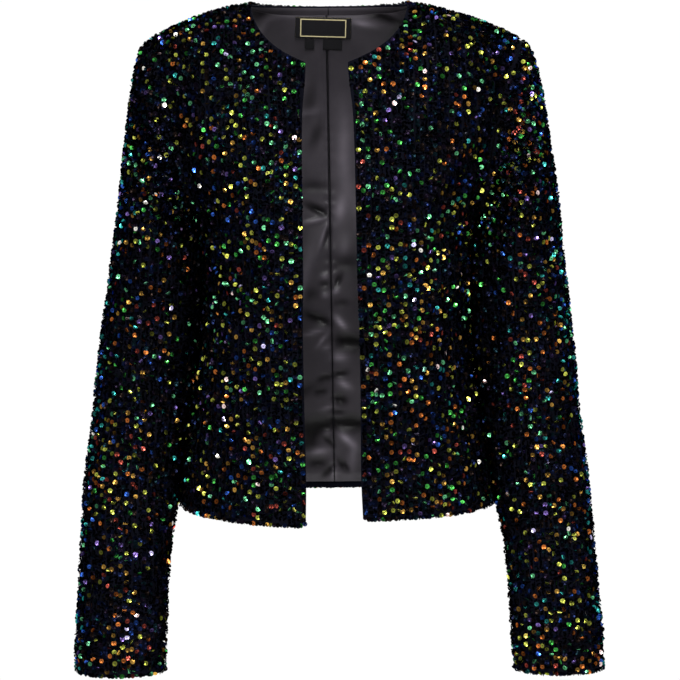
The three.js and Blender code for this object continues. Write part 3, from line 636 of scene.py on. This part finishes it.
def sequins(name, grid, grain, clear, edges):
    """One joined mesh of cup sequins on a grid, with a line of them along each of its bare edges.
    Each is a ten-sided rim above a five-sided hole, set square to the cloth, then tipped its own way,
    with its own colour: its own dark tint or a painted glint."""
    row, column, evenly = strewn_lines(grid, grain)
    keep = pick_at(clear[..., None], row, column)[..., 0] > 0
    row, column, evenly = row[keep], column[keep], evenly[keep]
    inside = len(row)
    for line_row, line_column in [edge_line(grid, *edge) for edge in edges]:
        row, column = np.concatenate([row, line_row]), np.concatenate([column, line_column])
        evenly = np.concatenate([evenly, random.random(len(line_row))])
    on_edge = np.arange(len(row)) >= inside
    place = pick_at(grid, row, column)
    up = unit(pick_at(outward(grid), row, column))
    climb = unit(pick_at(np.gradient(grid, axis=0), row, column))
    count = len(place)
    steep = random.random(count) < STEEP_SHARE
    tipped = random.uniform(*STEEP_TIPS, count)
    flat = np.minimum(np.abs(random.normal(0, FLAT_SPREAD, count)) + LEAST_TIP, MOST_TIP)
    tip = np.radians(np.where(steep, tipped, flat))
    heading = random.uniform(0, 2 * np.pi, count)
    across = np.cross(climb, up)
    lean = climb * np.cos(heading)[:, None] + across * np.sin(heading)[:, None]
    normal = unit(up * np.cos(tip)[:, None] + lean * np.sin(tip)[:, None])
    first = unit(np.cross(normal, climb + 0.3 * across))
    second = np.cross(normal, first)
    size = random.normal(1, SIZE_SPREAD, count)[:, None]
    angle = np.arange(RIM_SIDES) * 2 * np.pi / RIM_SIDES
    rim = np.stack([np.cos(angle), np.sin(angle), 0 * angle], axis=1) * SEQUIN_RADIUS
    rim[:, 2] = SEQUIN_CUP
    hole = np.stack([np.cos(angle[::2]), np.sin(angle[::2]), 0 * angle[::2]], axis=1) * SEQUIN_HOLE
    form = np.concatenate([rim, hole])
    seat = random.uniform(*SEATS, count)
    lift = seat + TIP_LIFT * SEQUIN_RADIUS * np.sin(tip) + EDGE_LIFT * on_edge
    centre = place + up * lift[:, None]
    verts = (centre[:, None] + size[:, None] * (form[None, :, :1] * first[:, None]
             + form[None, :, 1:2] * second[:, None] + form[None, :, 2:] * normal[:, None]))
    k, n = np.arange(RIM_SIDES // 2), RIM_SIDES
    after = (k + 1) % len(k)
    facets = np.concatenate([
        np.stack([2 * k, 2 * k + 1, n + k], axis=1),
        np.stack([2 * k + 1, 2 * after, n + after], axis=1),
        np.stack([2 * k + 1, n + after, n + k], axis=1)])
    faces = (facets[None] + len(form) * np.arange(count)[:, None, None]).reshape(-1, 3)
    piece = new_piece(name, verts.reshape(-1, 3), faces, [sequin_finish])
    # Each sequin's own dark tint or painted glint, on all its points
    colour = np.ones((count, len(form), 4), dtype=np.float32)
    colour[..., :3] = tints_and_glints(place, up, evenly, steep)[:, None]
    layer = piece.data.color_attributes.new("tint_and_glint", "FLOAT_COLOR", "POINT")
    layer.data.foreach_set("color", colour.ravel())
    side = math.ceil(math.sqrt(count))
    cell = np.stack([np.arange(count) % side, np.arange(count) // side], axis=1)[:, None]
    uv = (cell + 0.5 + 0.4 * form[None, :, :2] / SEQUIN_RADIUS) / side
    put_uv(piece, "OFBake", uv.reshape(-1, 2))
    return piece


# Materials
NET_DARK, NET_NAVY = (0.0012, 0.0012, 0.0018, 1), (0.004, 0.0045, 0.009, 1)
SATIN_DARK, SATIN_PALE = (0.0235, 0.021, 0.0255, 1), (0.0415, 0.037, 0.0435, 1)
TAPE_DARK, TAPE_PALE = (0.004, 0.004, 0.005, 1), (0.009, 0.0085, 0.01, 1)
# The centre seam's dark line is its stitching and its painted shadow
SEAM_STITCH_AND_SHADOW, GOLD = (0.004, 0.004, 0.005, 1), (0.55, 0.48, 0.27, 1)
BORDER_HALVES, BORDER_HALF_WIDTH = (("X", 0.227), ("Y", 0.085)), 0.0048


def wire(tree, socket, value):
    """Links an output to a socket, or sets the socket to a plain value."""
    if isinstance(value, bpy.types.NodeSocket):
        tree.links.new(value, socket)
    else:
        socket.default_value = value


def finish(name, **sockets):
    """A material of one Principled shader whose named sockets are set to plain values."""
    material = bpy.data.materials.new(name)
    material.use_nodes = True
    shader = material.node_tree.nodes["Principled BSDF"]
    for socket, value in sockets.items():
        shader.inputs[socket.replace("_", " ")].default_value = value
    return material, material.node_tree, shader


def add(tree, kind, *values, **settings):
    """A node. Values go to its sockets in order, settings to its own properties or named sockets."""
    node = tree.nodes.new("ShaderNode" + kind)
    sockets = dict(enumerate(values))
    for name, value in settings.items():
        if hasattr(node, name):
            setattr(node, name, value)
        else:
            sockets[name.replace("_", " ")] = value
    for socket, value in sockets.items():
        wire(tree, node.inputs[socket], value)
    return node


def arithmetic(tree, operation, *values):
    """One operation on numbers."""
    return add(tree, "Math", *values, operation=operation).outputs[0]


def cloth_map(tree):
    """A place on the cloth, flat, by its own UV map."""
    return add(tree, "UVMap", uv_map="cloth").outputs["UV"]


def from_middle(tree, axis):
    """How far a place on the cloth lies from the map's middle along one axis."""
    split = add(tree, "SeparateXYZ", Vector=cloth_map(tree))
    return arithmetic(tree, "ABSOLUTE", split.outputs[axis])


def threads(tree, stretch, **settings):
    """Noise drawn out along the cloth by its map's stretch."""
    place = add(tree, "Mapping", Vector=cloth_map(tree), Scale=stretch).outputs["Vector"]
    return add(tree, "TexNoise", Vector=place, Scale=1.0, **settings).outputs["Fac"]


def patches(tree, **settings):
    """Noise by the place on the jacket."""
    place = add(tree, "TexCoord").outputs["Object"]
    return add(tree, "TexNoise", Vector=place, **settings).outputs["Fac"]


def ramp(tree, share, *stops):
    """A colour that runs straight between two stops, each a place and a colour."""
    node = add(tree, "ValToRGB", Fac=share)
    for element, (place, colour) in zip(node.color_ramp.elements, stops):
        element.position, element.color = place, colour
    return node.outputs["Color"]


def blend(tree, share, low, high):
    """The colour a share of the way from one colour to another."""
    node = add(tree, "Mix", share, data_type="RGBA")
    wire(tree, node.inputs[6], low)
    wire(tree, node.inputs[7], high)
    return node.outputs[2]


def raise_by(tree, shader, height, strength, distance):
    """Tilts the shader's surface as a relief of a pattern would."""
    relief = add(tree, "Bump", Height=height, Strength=strength, Distance=distance)
    wire(tree, shader.inputs["Normal"], relief.outputs["Normal"])


def base_cloth():
    """Black velvety net: vertical threads along the cloth, with soft patches of navy. Its tint runs
    with 0.6 of the threads' noise and 0.4 of the patches'."""
    material, tree, shader = finish("base_cloth", Roughness=0.9, Sheen_Weight=0.015,
                                    Sheen_Roughness=0.45, Specular_IOR_Level=0.012,
                                    Sheen_Tint=(0.25, 0.3, 0.6, 1))
    thread = threads(tree, (120, 9, 1), Detail=3.0, Roughness=0.6)
    patch = arithmetic(tree, "MULTIPLY", patches(tree, Scale=22.0, Detail=3.0), 0.4)
    share = arithmetic(tree, "MULTIPLY_ADD", thread, 0.6, patch)
    wire(tree, shader.inputs["Base Color"], ramp(tree, share, (0.35, NET_DARK), (0.75, NET_NAVY)))
    raise_by(tree, shader, thread, 0.6, 0.0006)
    return material


def satin():
    """Charcoal satin: fine floats along the cloth, faint clouds, a soft sheen, and a dark line at the
    centre seam, of its stitching and its painted shadow. Its tint is the clouds' times e to the power
    of the piece's painted crease shade: painted shade in the troughs, painted light on the ridges and
    below the labels."""
    material, tree, shader = finish("lining_satin", Roughness=0.4, Sheen_Weight=0.04,
                                    Sheen_Roughness=0.35, Specular_IOR_Level=0.12,
                                    Sheen_Tint=(0.8, 0.78, 0.85, 1))
    cloud = patches(tree, Scale=18.0, Detail=4.0, Roughness=0.55)
    tone = ramp(tree, cloud, (0.3, SATIN_DARK), (0.7, SATIN_PALE))
    painted_crease_shade = add(tree, "Attribute", attribute_name="painted_crease_shade").outputs["Fac"]
    gain = arithmetic(tree, "EXPONENT", painted_crease_shade)
    creased = add(tree, "VectorMath", tone, operation="SCALE", Scale=gain).outputs[0]
    # A dark line within 0.3 to 0.8 mm of the centre seam: its stitching and its painted shadow
    past_seam = add(tree, "MapRange", from_middle(tree, "X"), From_Min=0.003, From_Max=0.008)
    colour = blend(tree, past_seam.outputs["Result"], SEAM_STITCH_AND_SHADOW, creased)
    wire(tree, shader.inputs["Base Color"], colour)
    raise_by(tree, shader, threads(tree, (260, 60, 1), Detail=2.0), 0.25, 0.0002)
    return material


def sequin_gloss():
    """Metallised plastic in each sequin's colour, its own dark tint or a painted glint, with fine
    scuffs in its gloss.
    """
    material, tree, shader = finish("sequin_gloss", Metallic=1.0, Specular_Tint=(0.045, 0.1, 0.2, 1))
    tint_and_glint = add(tree, "Attribute", attribute_name="tint_and_glint").outputs["Color"]
    wire(tree, shader.inputs["Base Color"], tint_and_glint)
    scuffs = patches(tree, Scale=900.0, Detail=2.0)
    gloss = add(tree, "MapRange", scuffs, To_Min=0.16, To_Max=0.34).outputs["Result"]
    wire(tree, shader.inputs["Roughness"], gloss)
    return material


def label_tape(name, bordered):
    """Black woven tape: a fine square weave, and on the neck label a thin gold border, where the
    larger of the distances past the border's half sizes is about nought."""
    material, tree, shader = finish(name, Roughness=0.7, Sheen_Weight=0.04, Specular_IOR_Level=0.1)
    weave = add(tree, "TexWave", Vector=cloth_map(tree), Scale=90.0, Distortion=0.4).outputs["Fac"]
    colour = ramp(tree, weave, (0, TAPE_DARK), (1, TAPE_PALE))
    raise_by(tree, shader, weave, 0.3, 0.0003)
    if bordered:
        past = [arithmetic(tree, "SUBTRACT", from_middle(tree, axis), half)
                for axis, half in BORDER_HALVES]
        line = arithmetic(tree, "COMPARE", arithmetic(tree, "MAXIMUM", *past), 0, BORDER_HALF_WIDTH)
        colour = blend(tree, line, colour, GOLD)
    wire(tree, shader.inputs["Base Color"], colour)
    return material


cloth_finish = base_cloth()
lining_finish = satin()
sequin_finish = sequin_gloss()
neck_label_finish = label_tape("neck_label_tape", True)
tab_finish = label_tape("tab_tape", False)


# Panels and sleeves
PANEL_HEM_ROWS, CUFF_HEM_ROWS = 7, 6  # rows of base cloth turned in
NECK_ROLL = 1.2  # how much farther in the back neck's rolled edge is filled
EDGE_ROW, NECK_EDGE_ROW = 1.0, 1.42  # rows of the edges' lines of sequins, from the hem and the top
# How near an edge sequins come: the hem, the front, the neck, a rolled neck, and at a sleeve's seam
HEM_CLEAR, FRONT_CLEAR, NECK_CLEAR, ROLL_CLEAR, SEAM_CLEAR = 3.6, 0.8, 1.2, 2.6, 2.3
CUFF_CLEAR, CAP_CLEAR, BARE_CAP_CLEAR = 4, 1, 2.0


def two_faces(roll):
    """The base cloth's two faces, each moved to its place at a rolled edge by the share roll."""
    return mix(BASE_FACE, ROLLED_BASE_FACE, roll), mix(BACK_FACE, ROLLED_BACK_FACE, roll)


def flat_map(grain, rise):
    """A map of the cloth: its grain across, and up it each row's mean height along the cloth."""
    return np.stack([grain, rise.mean(axis=1, keepdims=True) + 0 * grain], axis=-1)


def along_chest(grid, grain):
    """The chest row's grain at the x of each point above it, straight on past the row's ends."""
    order = np.argsort(grid[CHEST_ROW, :, 0])
    x, g = grid[CHEST_ROW, order, 0], grain[CHEST_ROW, order]
    low_slope, high_slope = (g[1] - g[0]) / (x[1] - x[0]), (g[-1] - g[-2]) / (x[-1] - x[-2])
    above = grid[CHEST_ROW:, :, 0]
    level = np.interp(above, x, g)
    level = np.where(above < x[0], g[0] + (above - x[0]) * low_slope, level)
    return np.where(above > x[-1], g[-1] + (above - x[-1]) * high_slope, level)


def panel_piece(name, grid, front_column, neck_columns, inner_neck=0.0, bare_armhole=False):
    """A panel with rolled, bare edges. Its grain runs along each row from the centre edge up to the
    chest, and above it keeps the x of the chest's points."""
    across, rise = spans(grid, 1), spans(grid, 0)
    centre = int(np.argmin(np.abs(grid[0, :, 0]))) if front_column is None else front_column
    grain = across - across[:, centre:centre + 1]
    from_centre = np.abs(grain)
    level = along_chest(grid, grain)
    grain[CHEST_ROW:] = mix(grain[CHEST_ROW:], level, ease(np.arange(len(level)), 0, 6)[:, None])
    far = np.full(grid.shape[:2], 1e3)
    neck_gap = far.copy()
    neck_gap[:, neck_columns] = (rise[-1:] - rise)[:, neck_columns]
    front_gap = far if front_column is None else from_centre
    roll = 1 - ease(np.minimum(np.minimum(neck_gap, rise), front_gap), 0.5, 3)
    base_face, back_face = two_faces(roll)
    offsets = (base_face, back_face - inner_neck * (1 - ease(neck_gap, 5, 8)))
    piece = cloth_piece(name + "_cloth", grid, offsets, flat_map(grain, rise),
                        [cloth_finish, lining_finish], [name],
                        hem_rows=PANEL_HEM_ROWS)
    clear = np.minimum(neck_gap - (ROLL_CLEAR if inner_neck else NECK_CLEAR), rise - HEM_CLEAR)
    clear = np.minimum(clear, front_gap - FRONT_CLEAR)
    edges = [(EDGE_ROW, 0, grid.shape[1] - 1)]
    if inner_neck:
        edges.append((len(grid) - NECK_EDGE_ROW, neck_columns.start, neck_columns.stop - 1))
    if bare_armhole:
        by_armhole = np.arange(len(ROWS))[:, None] >= UNDERARM_ROW
        clear = np.minimum(clear, np.where(by_armhole, across[:, -1:] - across - SEAM_CLEAR, 9))
    return piece, sequins(name + "_sequins", grid, grain, clear, edges)


def sleeve_piece(name, grid, angles, bare_armhole=False):
    """A sleeve. Its grain runs round each ring from the outer line, and sequins stop at the cuff."""
    turned = int(np.argmin(np.minimum(angles, 360 - angles)))
    outer = len(angles) // 2
    grid = np.roll(grid, outer - turned, axis=1)
    closed = np.concatenate([grid, grid[:, :1]], axis=1)
    across, rise = spans(closed, 1), spans(closed, 0)
    grain = across - across[:, outer:outer + 1]
    offsets = two_faces(1 - ease(rise[:, :-1], 0.5, 4))
    piece = cloth_piece(name + "_cloth", grid, offsets, flat_map(grain, rise)[:, :-1],
                        [cloth_finish, lining_finish], [name],
                        round_arm=True, hem_rows=CUFF_HEM_ROWS)
    top = rise[-1:] - rise - (BARE_CAP_CLEAR if bare_armhole else CAP_CLEAR)
    clear = np.minimum(rise - CUFF_CLEAR, top)
    edges = [(EDGE_ROW, 0, closed.shape[1] - 1)]
    return piece, sequins(name + "_sequins", closed, grain, clear, edges)


back_centre, front_end = len(back_u) - 1, len(front_u)
back_neck_columns = slice(back_centre - back_neck + 1, back_centre + back_neck)
pieces = {
    "back": panel_piece("back", back, None, back_neck_columns, NECK_ROLL),
    "front_left": panel_piece("front_left", left_front, 0, slice(0, front_neck), bare_armhole=True),
    "front_right": panel_piece("front_right", right_front, front_end - 1,
                               slice(front_end - front_neck, None)),
    "sleeve_left": sleeve_piece("sleeve_left", left_sleeve, left_angles, bare_armhole=True),
    "sleeve_right": sleeve_piece("sleeve_right", right_sleeve, right_angles),
}


# Back lining and its labels
# Depth of the creases' relief, and gain of their painted shade in the troughs and painted light on the
# ridges
CREASE_DEPTH, CREASE_SHADE_GAIN = 1.3, 0.9
LINING_FACES, LINING_EASE, LEAST_EASE = (-2.9, -3.7), 4, 0.15
LINING_TOP, LINING_FOOT, LINING_SIDE = (2, 13), (482, 496), (0.85, 0.955)  # where its ease runs out
SEAM_REACH = 190  # millimetres across for a whole share of half the back
# Depth, reach and drops of the centre seam's puckers, and the seam's own sink and width
PUCKER_DEPTH, PUCKER_REACH, PUCKER_DROP, SEAM_SINK, SEAM_WIDTH = 0.7, 5, (60, 260), 1.3, 1.3
# A tuck beside the seam on the wearer's right: its sink, place, width and the drops where it ends
TUCK_SINK, TUCK_PLACE, TUCK_WIDTH, TUCK_DROP = 0.9, 5, 3, (110, 260)
# Painted light on the satin below the labels: its strength, and the drops where it starts and fades
SHINE, SHINE_TOP, SHINE_FOOT = 0.3, (30, 80), (150, 290)  # the lighter satin below the labels
TAPE_FACE, LABEL_STAND_OFF, LABEL_KICK = 0.35, 1.3, 0.5
FIT_UNIT = 30  # millimetres to one unit of the curve that labels are laid on
# x, drop, turn, length, width, rise towards the inside of the jacket
LINING_CREASES = [
    (-17, 211.8, -25, 12, 4, -2.4), (-20.1, 223.7, 12, 13, 2.5, 1.2),
    (-10.7, 238.8, 70, 14, 2.5, 1.2), (-6.6, 237.8, 72, 9, 3, -1.2), (-17, 322, -22, 12, 4, -2.8),
    (-21.1, 335.5, 14, 13, 2.5, 1.4), (-12.8, 343.8, 48, 10, 2.5, 1.2),
    (6.8, 212.8, 80, 13, 7, 1.2), (12, 265.8, 0, 12, 8, -1.2), (6.8, 326.1, -42, 10, 4, 2),
    (16.1, 345.4, -6, 13, 7, -3.9), (11, 252.3, 85, 12, 7, 0.8), (-9.7, 280.4, 5, 5, 3, 1.2),
    (-8.7, 287.7, 0, 6, 3, -1.2), (4.8, 283.5, 60, 6, 3, -1.6), (1.7, 295, 10, 5, 3, 1.4),
    (-9.7, 299.1, 0, 5, 3, 1.2), (7.9, 306.4, 0, 8, 4, -1), (-23.2, 297.7, 0, 8, 6, -0.8),
    (5.8, 361.5, 0, 9, 5, 1.6), (-8.7, 351.6, 10, 6, 3, 1), (-9.7, 383.3, 10, 7, 3, -2),
    (5.8, 379.2, 12, 8, 3, -2), (9.9, 389.6, -25, 9, 4, 1.6), (-14.9, 397.9, 10, 6, 3.5, -1.6),
    (5.8, 405.7, -20, 7, 5, -2.6), (-8.7, 414.5, 10, 8, 2, 1), (3.7, 418.7, 0, 6, 2, -1.4),
    (5.8, 423.9, 0, 7, 2, 1), (-18, 433.2, 2, 16, 9, -2.9), (15.1, 430.1, -3, 17, 7, -3.9),
    (-8.7, 440.5, 5, 6, 3, 1.6), (12, 446.8, -40, 12, 5, 2), (-5.6, 450.9, -45, 7, 2.5, -1.8),
    (-26.3, 446.8, 80, 12, 7, -2), (-19, 460.3, 3, 12, 4, 1.6), (-18, 472.8, 0, 9, 5, -2),
    (-7.6, 482.1, 45, 8, 3.5, -2), (8.9, 475.9, -50, 8, 3.5, -2.4), (19.2, 465.5, 80, 20, 6, 1),
    (-1.4, 485.2, 90, 9, 3.5, 1), (-23.2, 96.3, 80, 20, 6, -0.8), (-24.2, 109.9, 10, 12, 4, 0.9),
    (-17, 133.8, 70, 14, 5, -1), (-20.1, 187.8, 0, 14, 6, -1), (11, 148.3, 90, 50, 8, 0.8),
    (52.3, 11.1, -14, 18, 3.5, -2.4), (32.7, 17.3, -8, 16, 4, 1.4), (-66.6, 4.8, 10, 22, 4, -2),
    (-74.9, 23.6, 60, 14, 5, 0.8), (67.8, 23.6, 60, 14, 5, -1), (-52, 160, 95, 60, 12, 1.4),
    (-40, 300, 70, 50, 9, 1.6), (46, 260, 112, 60, 9, 1.6), (60, 420, 80, 50, 11, 2),
    (-62, 430, 100, 60, 11, 2), (80, 330, 60, 40, 9, 1.8), (-84, 250, 118, 50, 9, 1.8),
    (70, 180, 80, 50, 10, 1.4), (-90, 380, 75, 40, 9, 1.8), (-45, 400, 20, 26, 6, -1.6),
    (50, 355, 160, 26, 6, -1.6), (100, 440, 95, 40, 9, 1.8),
]


def lining_half(name, side):
    """Half the back lining: the back's points drawn in below its neck roll, set inside it, with listed
    creases and a line of small puckers along the centre seam."""
    u = np.concatenate([[0.0009, 0.003, 0.006, 0.011], np.linspace(0.017, 0.3, 42),
                        np.linspace(0.33, 0.955, 16)])
    v = np.concatenate([np.linspace(0.18, CHEST, 220), np.linspace(CHEST, TOP - 0.055, 46)[1:]])
    u = u[::-1] if side > 0 else u
    grid = panel(BACK_CUT, u, np.full(len(u), float(side)), BACK_FOLDS, v)
    out = outward(grid)
    drop = NECK_END_HEIGHT - grid[..., 2]
    seam = u[None, :] * SEAM_REACH
    creases = ridges(LINING_CREASES, grid[..., 0], drop)
    height = LINING_EASE + CREASE_DEPTH * creases
    pucker = PUCKER_DEPTH * np.sin(drop / 2.3 + 2.2 * np.sin(drop / 11))
    pucker = pucker * np.exp(-(seam / PUCKER_REACH) ** 2) * ease(drop, *PUCKER_DROP)
    height += pucker - SEAM_SINK * np.exp(-(seam / SEAM_WIDTH) ** 2)
    if side < 0:
        tuck = TUCK_SINK * np.exp(-((seam - TUCK_PLACE) / TUCK_WIDTH) ** 2)
        height -= tuck * (1 - ease(drop, *TUCK_DROP))
    height = np.maximum(height, LEAST_EASE) * ease(drop, *LINING_TOP)
    height = height * (1 - ease(drop, *LINING_FOOT)) * (1 - ease(u, *LINING_SIDE)[None, :])
    across, rise = spans(grid, 1), spans(grid, 0)
    from_seam = across if side < 0 else across[:, -1:] - across
    uv = np.stack([from_seam, rise], axis=-1)
    offsets = [face - height for face in LINING_FACES]
    piece = cloth_piece(name + "_satin", grid, offsets, uv, [lining_finish], [name])
    # Painted shade in the creases' troughs and painted light on their ridges and below the labels, on
    # the satin's two faces
    painted_crease_shade = np.zeros((len(piece.data.vertices), 4), dtype=np.float32)
    tone = CREASE_SHADE_GAIN * creases + SHINE * (1 - ease(drop, *SHINE_FOOT)) * ease(drop, *SHINE_TOP)
    painted_crease_shade[:2 * creases.size] = np.tile(tone.reshape(-1, 1), (2, 1))
    layer = piece.data.color_attributes.new("painted_crease_shade", "FLOAT_COLOR", "POINT")
    layer.data.foreach_set("color", painted_crease_shade.ravel())
    return piece, grid + out * offsets[1][..., None]


left_lining, left_face = lining_half("lining_back_left", 1)
right_lining, right_face = lining_half("lining_back_right", -1)
near_neck = np.concatenate([left_face.reshape(-1, 3), right_face.reshape(-1, 3)])
spot = (np.abs(near_neck[:, 0]) < 45) & (near_neck[:, 2] > -32) & (near_neck[:, 2] < 5)
x, y, z = near_neck[spot].T / FIT_UNIT


def powers(x, z):
    """The terms of the fitted curve: 1, x, z, their products of two, and x to the fourth."""
    return np.stack([x ** 0, x, z, x * x, x * z, z * z, x ** 4], axis=-1)


lining_fit = np.linalg.lstsq(powers(x, z), y, rcond=None)[0]


def label(name, centre_x, top, width, height, tilt, tape, columns, rows):
    """A small tape label: a level grid turned by its tilt, laid on the lining by a fitted curve,
    its lower edge standing a little off it."""
    across, up = np.linspace(-0.5, 0.5, columns) * width, np.linspace(-0.5, 0.5, rows) * height
    a, b = np.meshgrid(across, up)
    turn = math.radians(tilt)
    x = centre_x + a * math.cos(turn) - b * math.sin(turn)
    z = NECK_END_HEIGHT - top - height / 2 + a * math.sin(turn) + b * math.cos(turn)
    y = powers(x / FIT_UNIT, z / FIT_UNIT) @ lining_fit * FIT_UNIT
    y = y - LABEL_STAND_OFF - LABEL_KICK * (0.5 - b / height) ** 2
    offsets = (np.full(a.shape, TAPE_FACE), np.full(a.shape, -TAPE_FACE))
    grid, uv = np.stack([x, y, z], axis=-1), np.stack([a, b], axis=-1)
    return cloth_piece(name + "_tape", grid, offsets, uv, [tape], [name])


neck_label = label("neck_label", -9.3, 14.6, 56, 21, -1.8, neck_label_finish, 41, 15)
size_tab = label("size_tab", -23.3, 35.6, 9, 10.5, -2, tab_finish, 9, 9)
care_tab = label("care_tab", 0, 35.6, 19, 11.5, -2.5, tab_finish, 13, 9)


# Floor and light, in metres
FLOOR_RADIUS, FLOOR_HEIGHT, FLOOR_SIDES = 0.9, -1.5, 96
ROOM_STRENGTH, SEEN_STRENGTH = 0.75, 1.02
LAMP_AIM = (0, 0, -0.3)
# name, place, width, height and power
LAMPS = [("key", (-0.05, -2.2, 2.0), 0.5, 1.2, 95), ("fill", (-1.1, -2.9, 0.1), 0.8, 0.8, 26),
         ("side", (1.4, -2.7, 0.0), 0.8, 1.0, 22), ("behind", (0.4, 2.8, 1.2), 1.2, 1.2, 50)]


def lay_floor():
    """A pale round disc well below the cuffs, small enough to see the jacket from below."""
    turn = np.linspace(0, 2 * np.pi, FLOOR_SIDES + 1)[:-1]
    rim = np.stack([FLOOR_RADIUS * np.cos(turn), FLOOR_RADIUS * np.sin(turn),
                    np.full(FLOOR_SIDES, FLOOR_HEIGHT)], axis=1)
    mesh = bpy.data.meshes.new("floor")
    mesh.from_pydata(rim.tolist(), [], [list(range(FLOOR_SIDES))])
    mesh.materials.append(finish("pale_floor", Roughness=0.9, Specular_IOR_Level=0.1,
                                 Base_Color=(0.9, 0.9, 0.9, 1), Emission_Strength=0.62,
                                 Emission_Color=(1, 1, 1, 1))[0])
    floor = bpy.data.objects.new("floor", mesh)
    bpy.context.collection.objects.link(floor)


def light_room():
    """A white room, a little less bright to the jacket than to the camera's own view."""
    world = bpy.data.worlds.new("studio")
    world.use_nodes = True
    tree = world.node_tree
    room = tree.nodes["Background"]
    room.inputs["Color"].default_value = (1, 1, 1, 1)
    seen = add(tree, "LightPath").outputs["Is Camera Ray"]
    strength = add(tree, "MapRange", seen, To_Min=ROOM_STRENGTH, To_Max=SEEN_STRENGTH)
    wire(tree, room.inputs["Strength"], strength.outputs["Result"])
    bpy.context.scene.world = world


def hang_lamp(name, place, width, height, power):
    """A soft rectangular lamp, turned so that its back points straight away from the aim."""
    light = bpy.data.lights.new(name, "AREA")
    light.shape = "RECTANGLE"
    light.size, light.size_y = width, height
    light.energy = power
    away = unit(np.array(place) - np.array(LAMP_AIM))
    right = unit(np.cross([0, 0, 1], away))
    turn = Matrix(np.array([right, np.cross(away, right), away]).T.tolist()).to_4x4()
    lamp = bpy.data.objects.new(name, light)
    lamp.matrix_world = Matrix.Translation(place) @ turn
    bpy.context.collection.objects.link(lamp)


lay_floor()
light_room()
for lamp in LAMPS:
    hang_lamp(*lamp)
bpy.context.scene.view_settings.view_transform = "Standard"
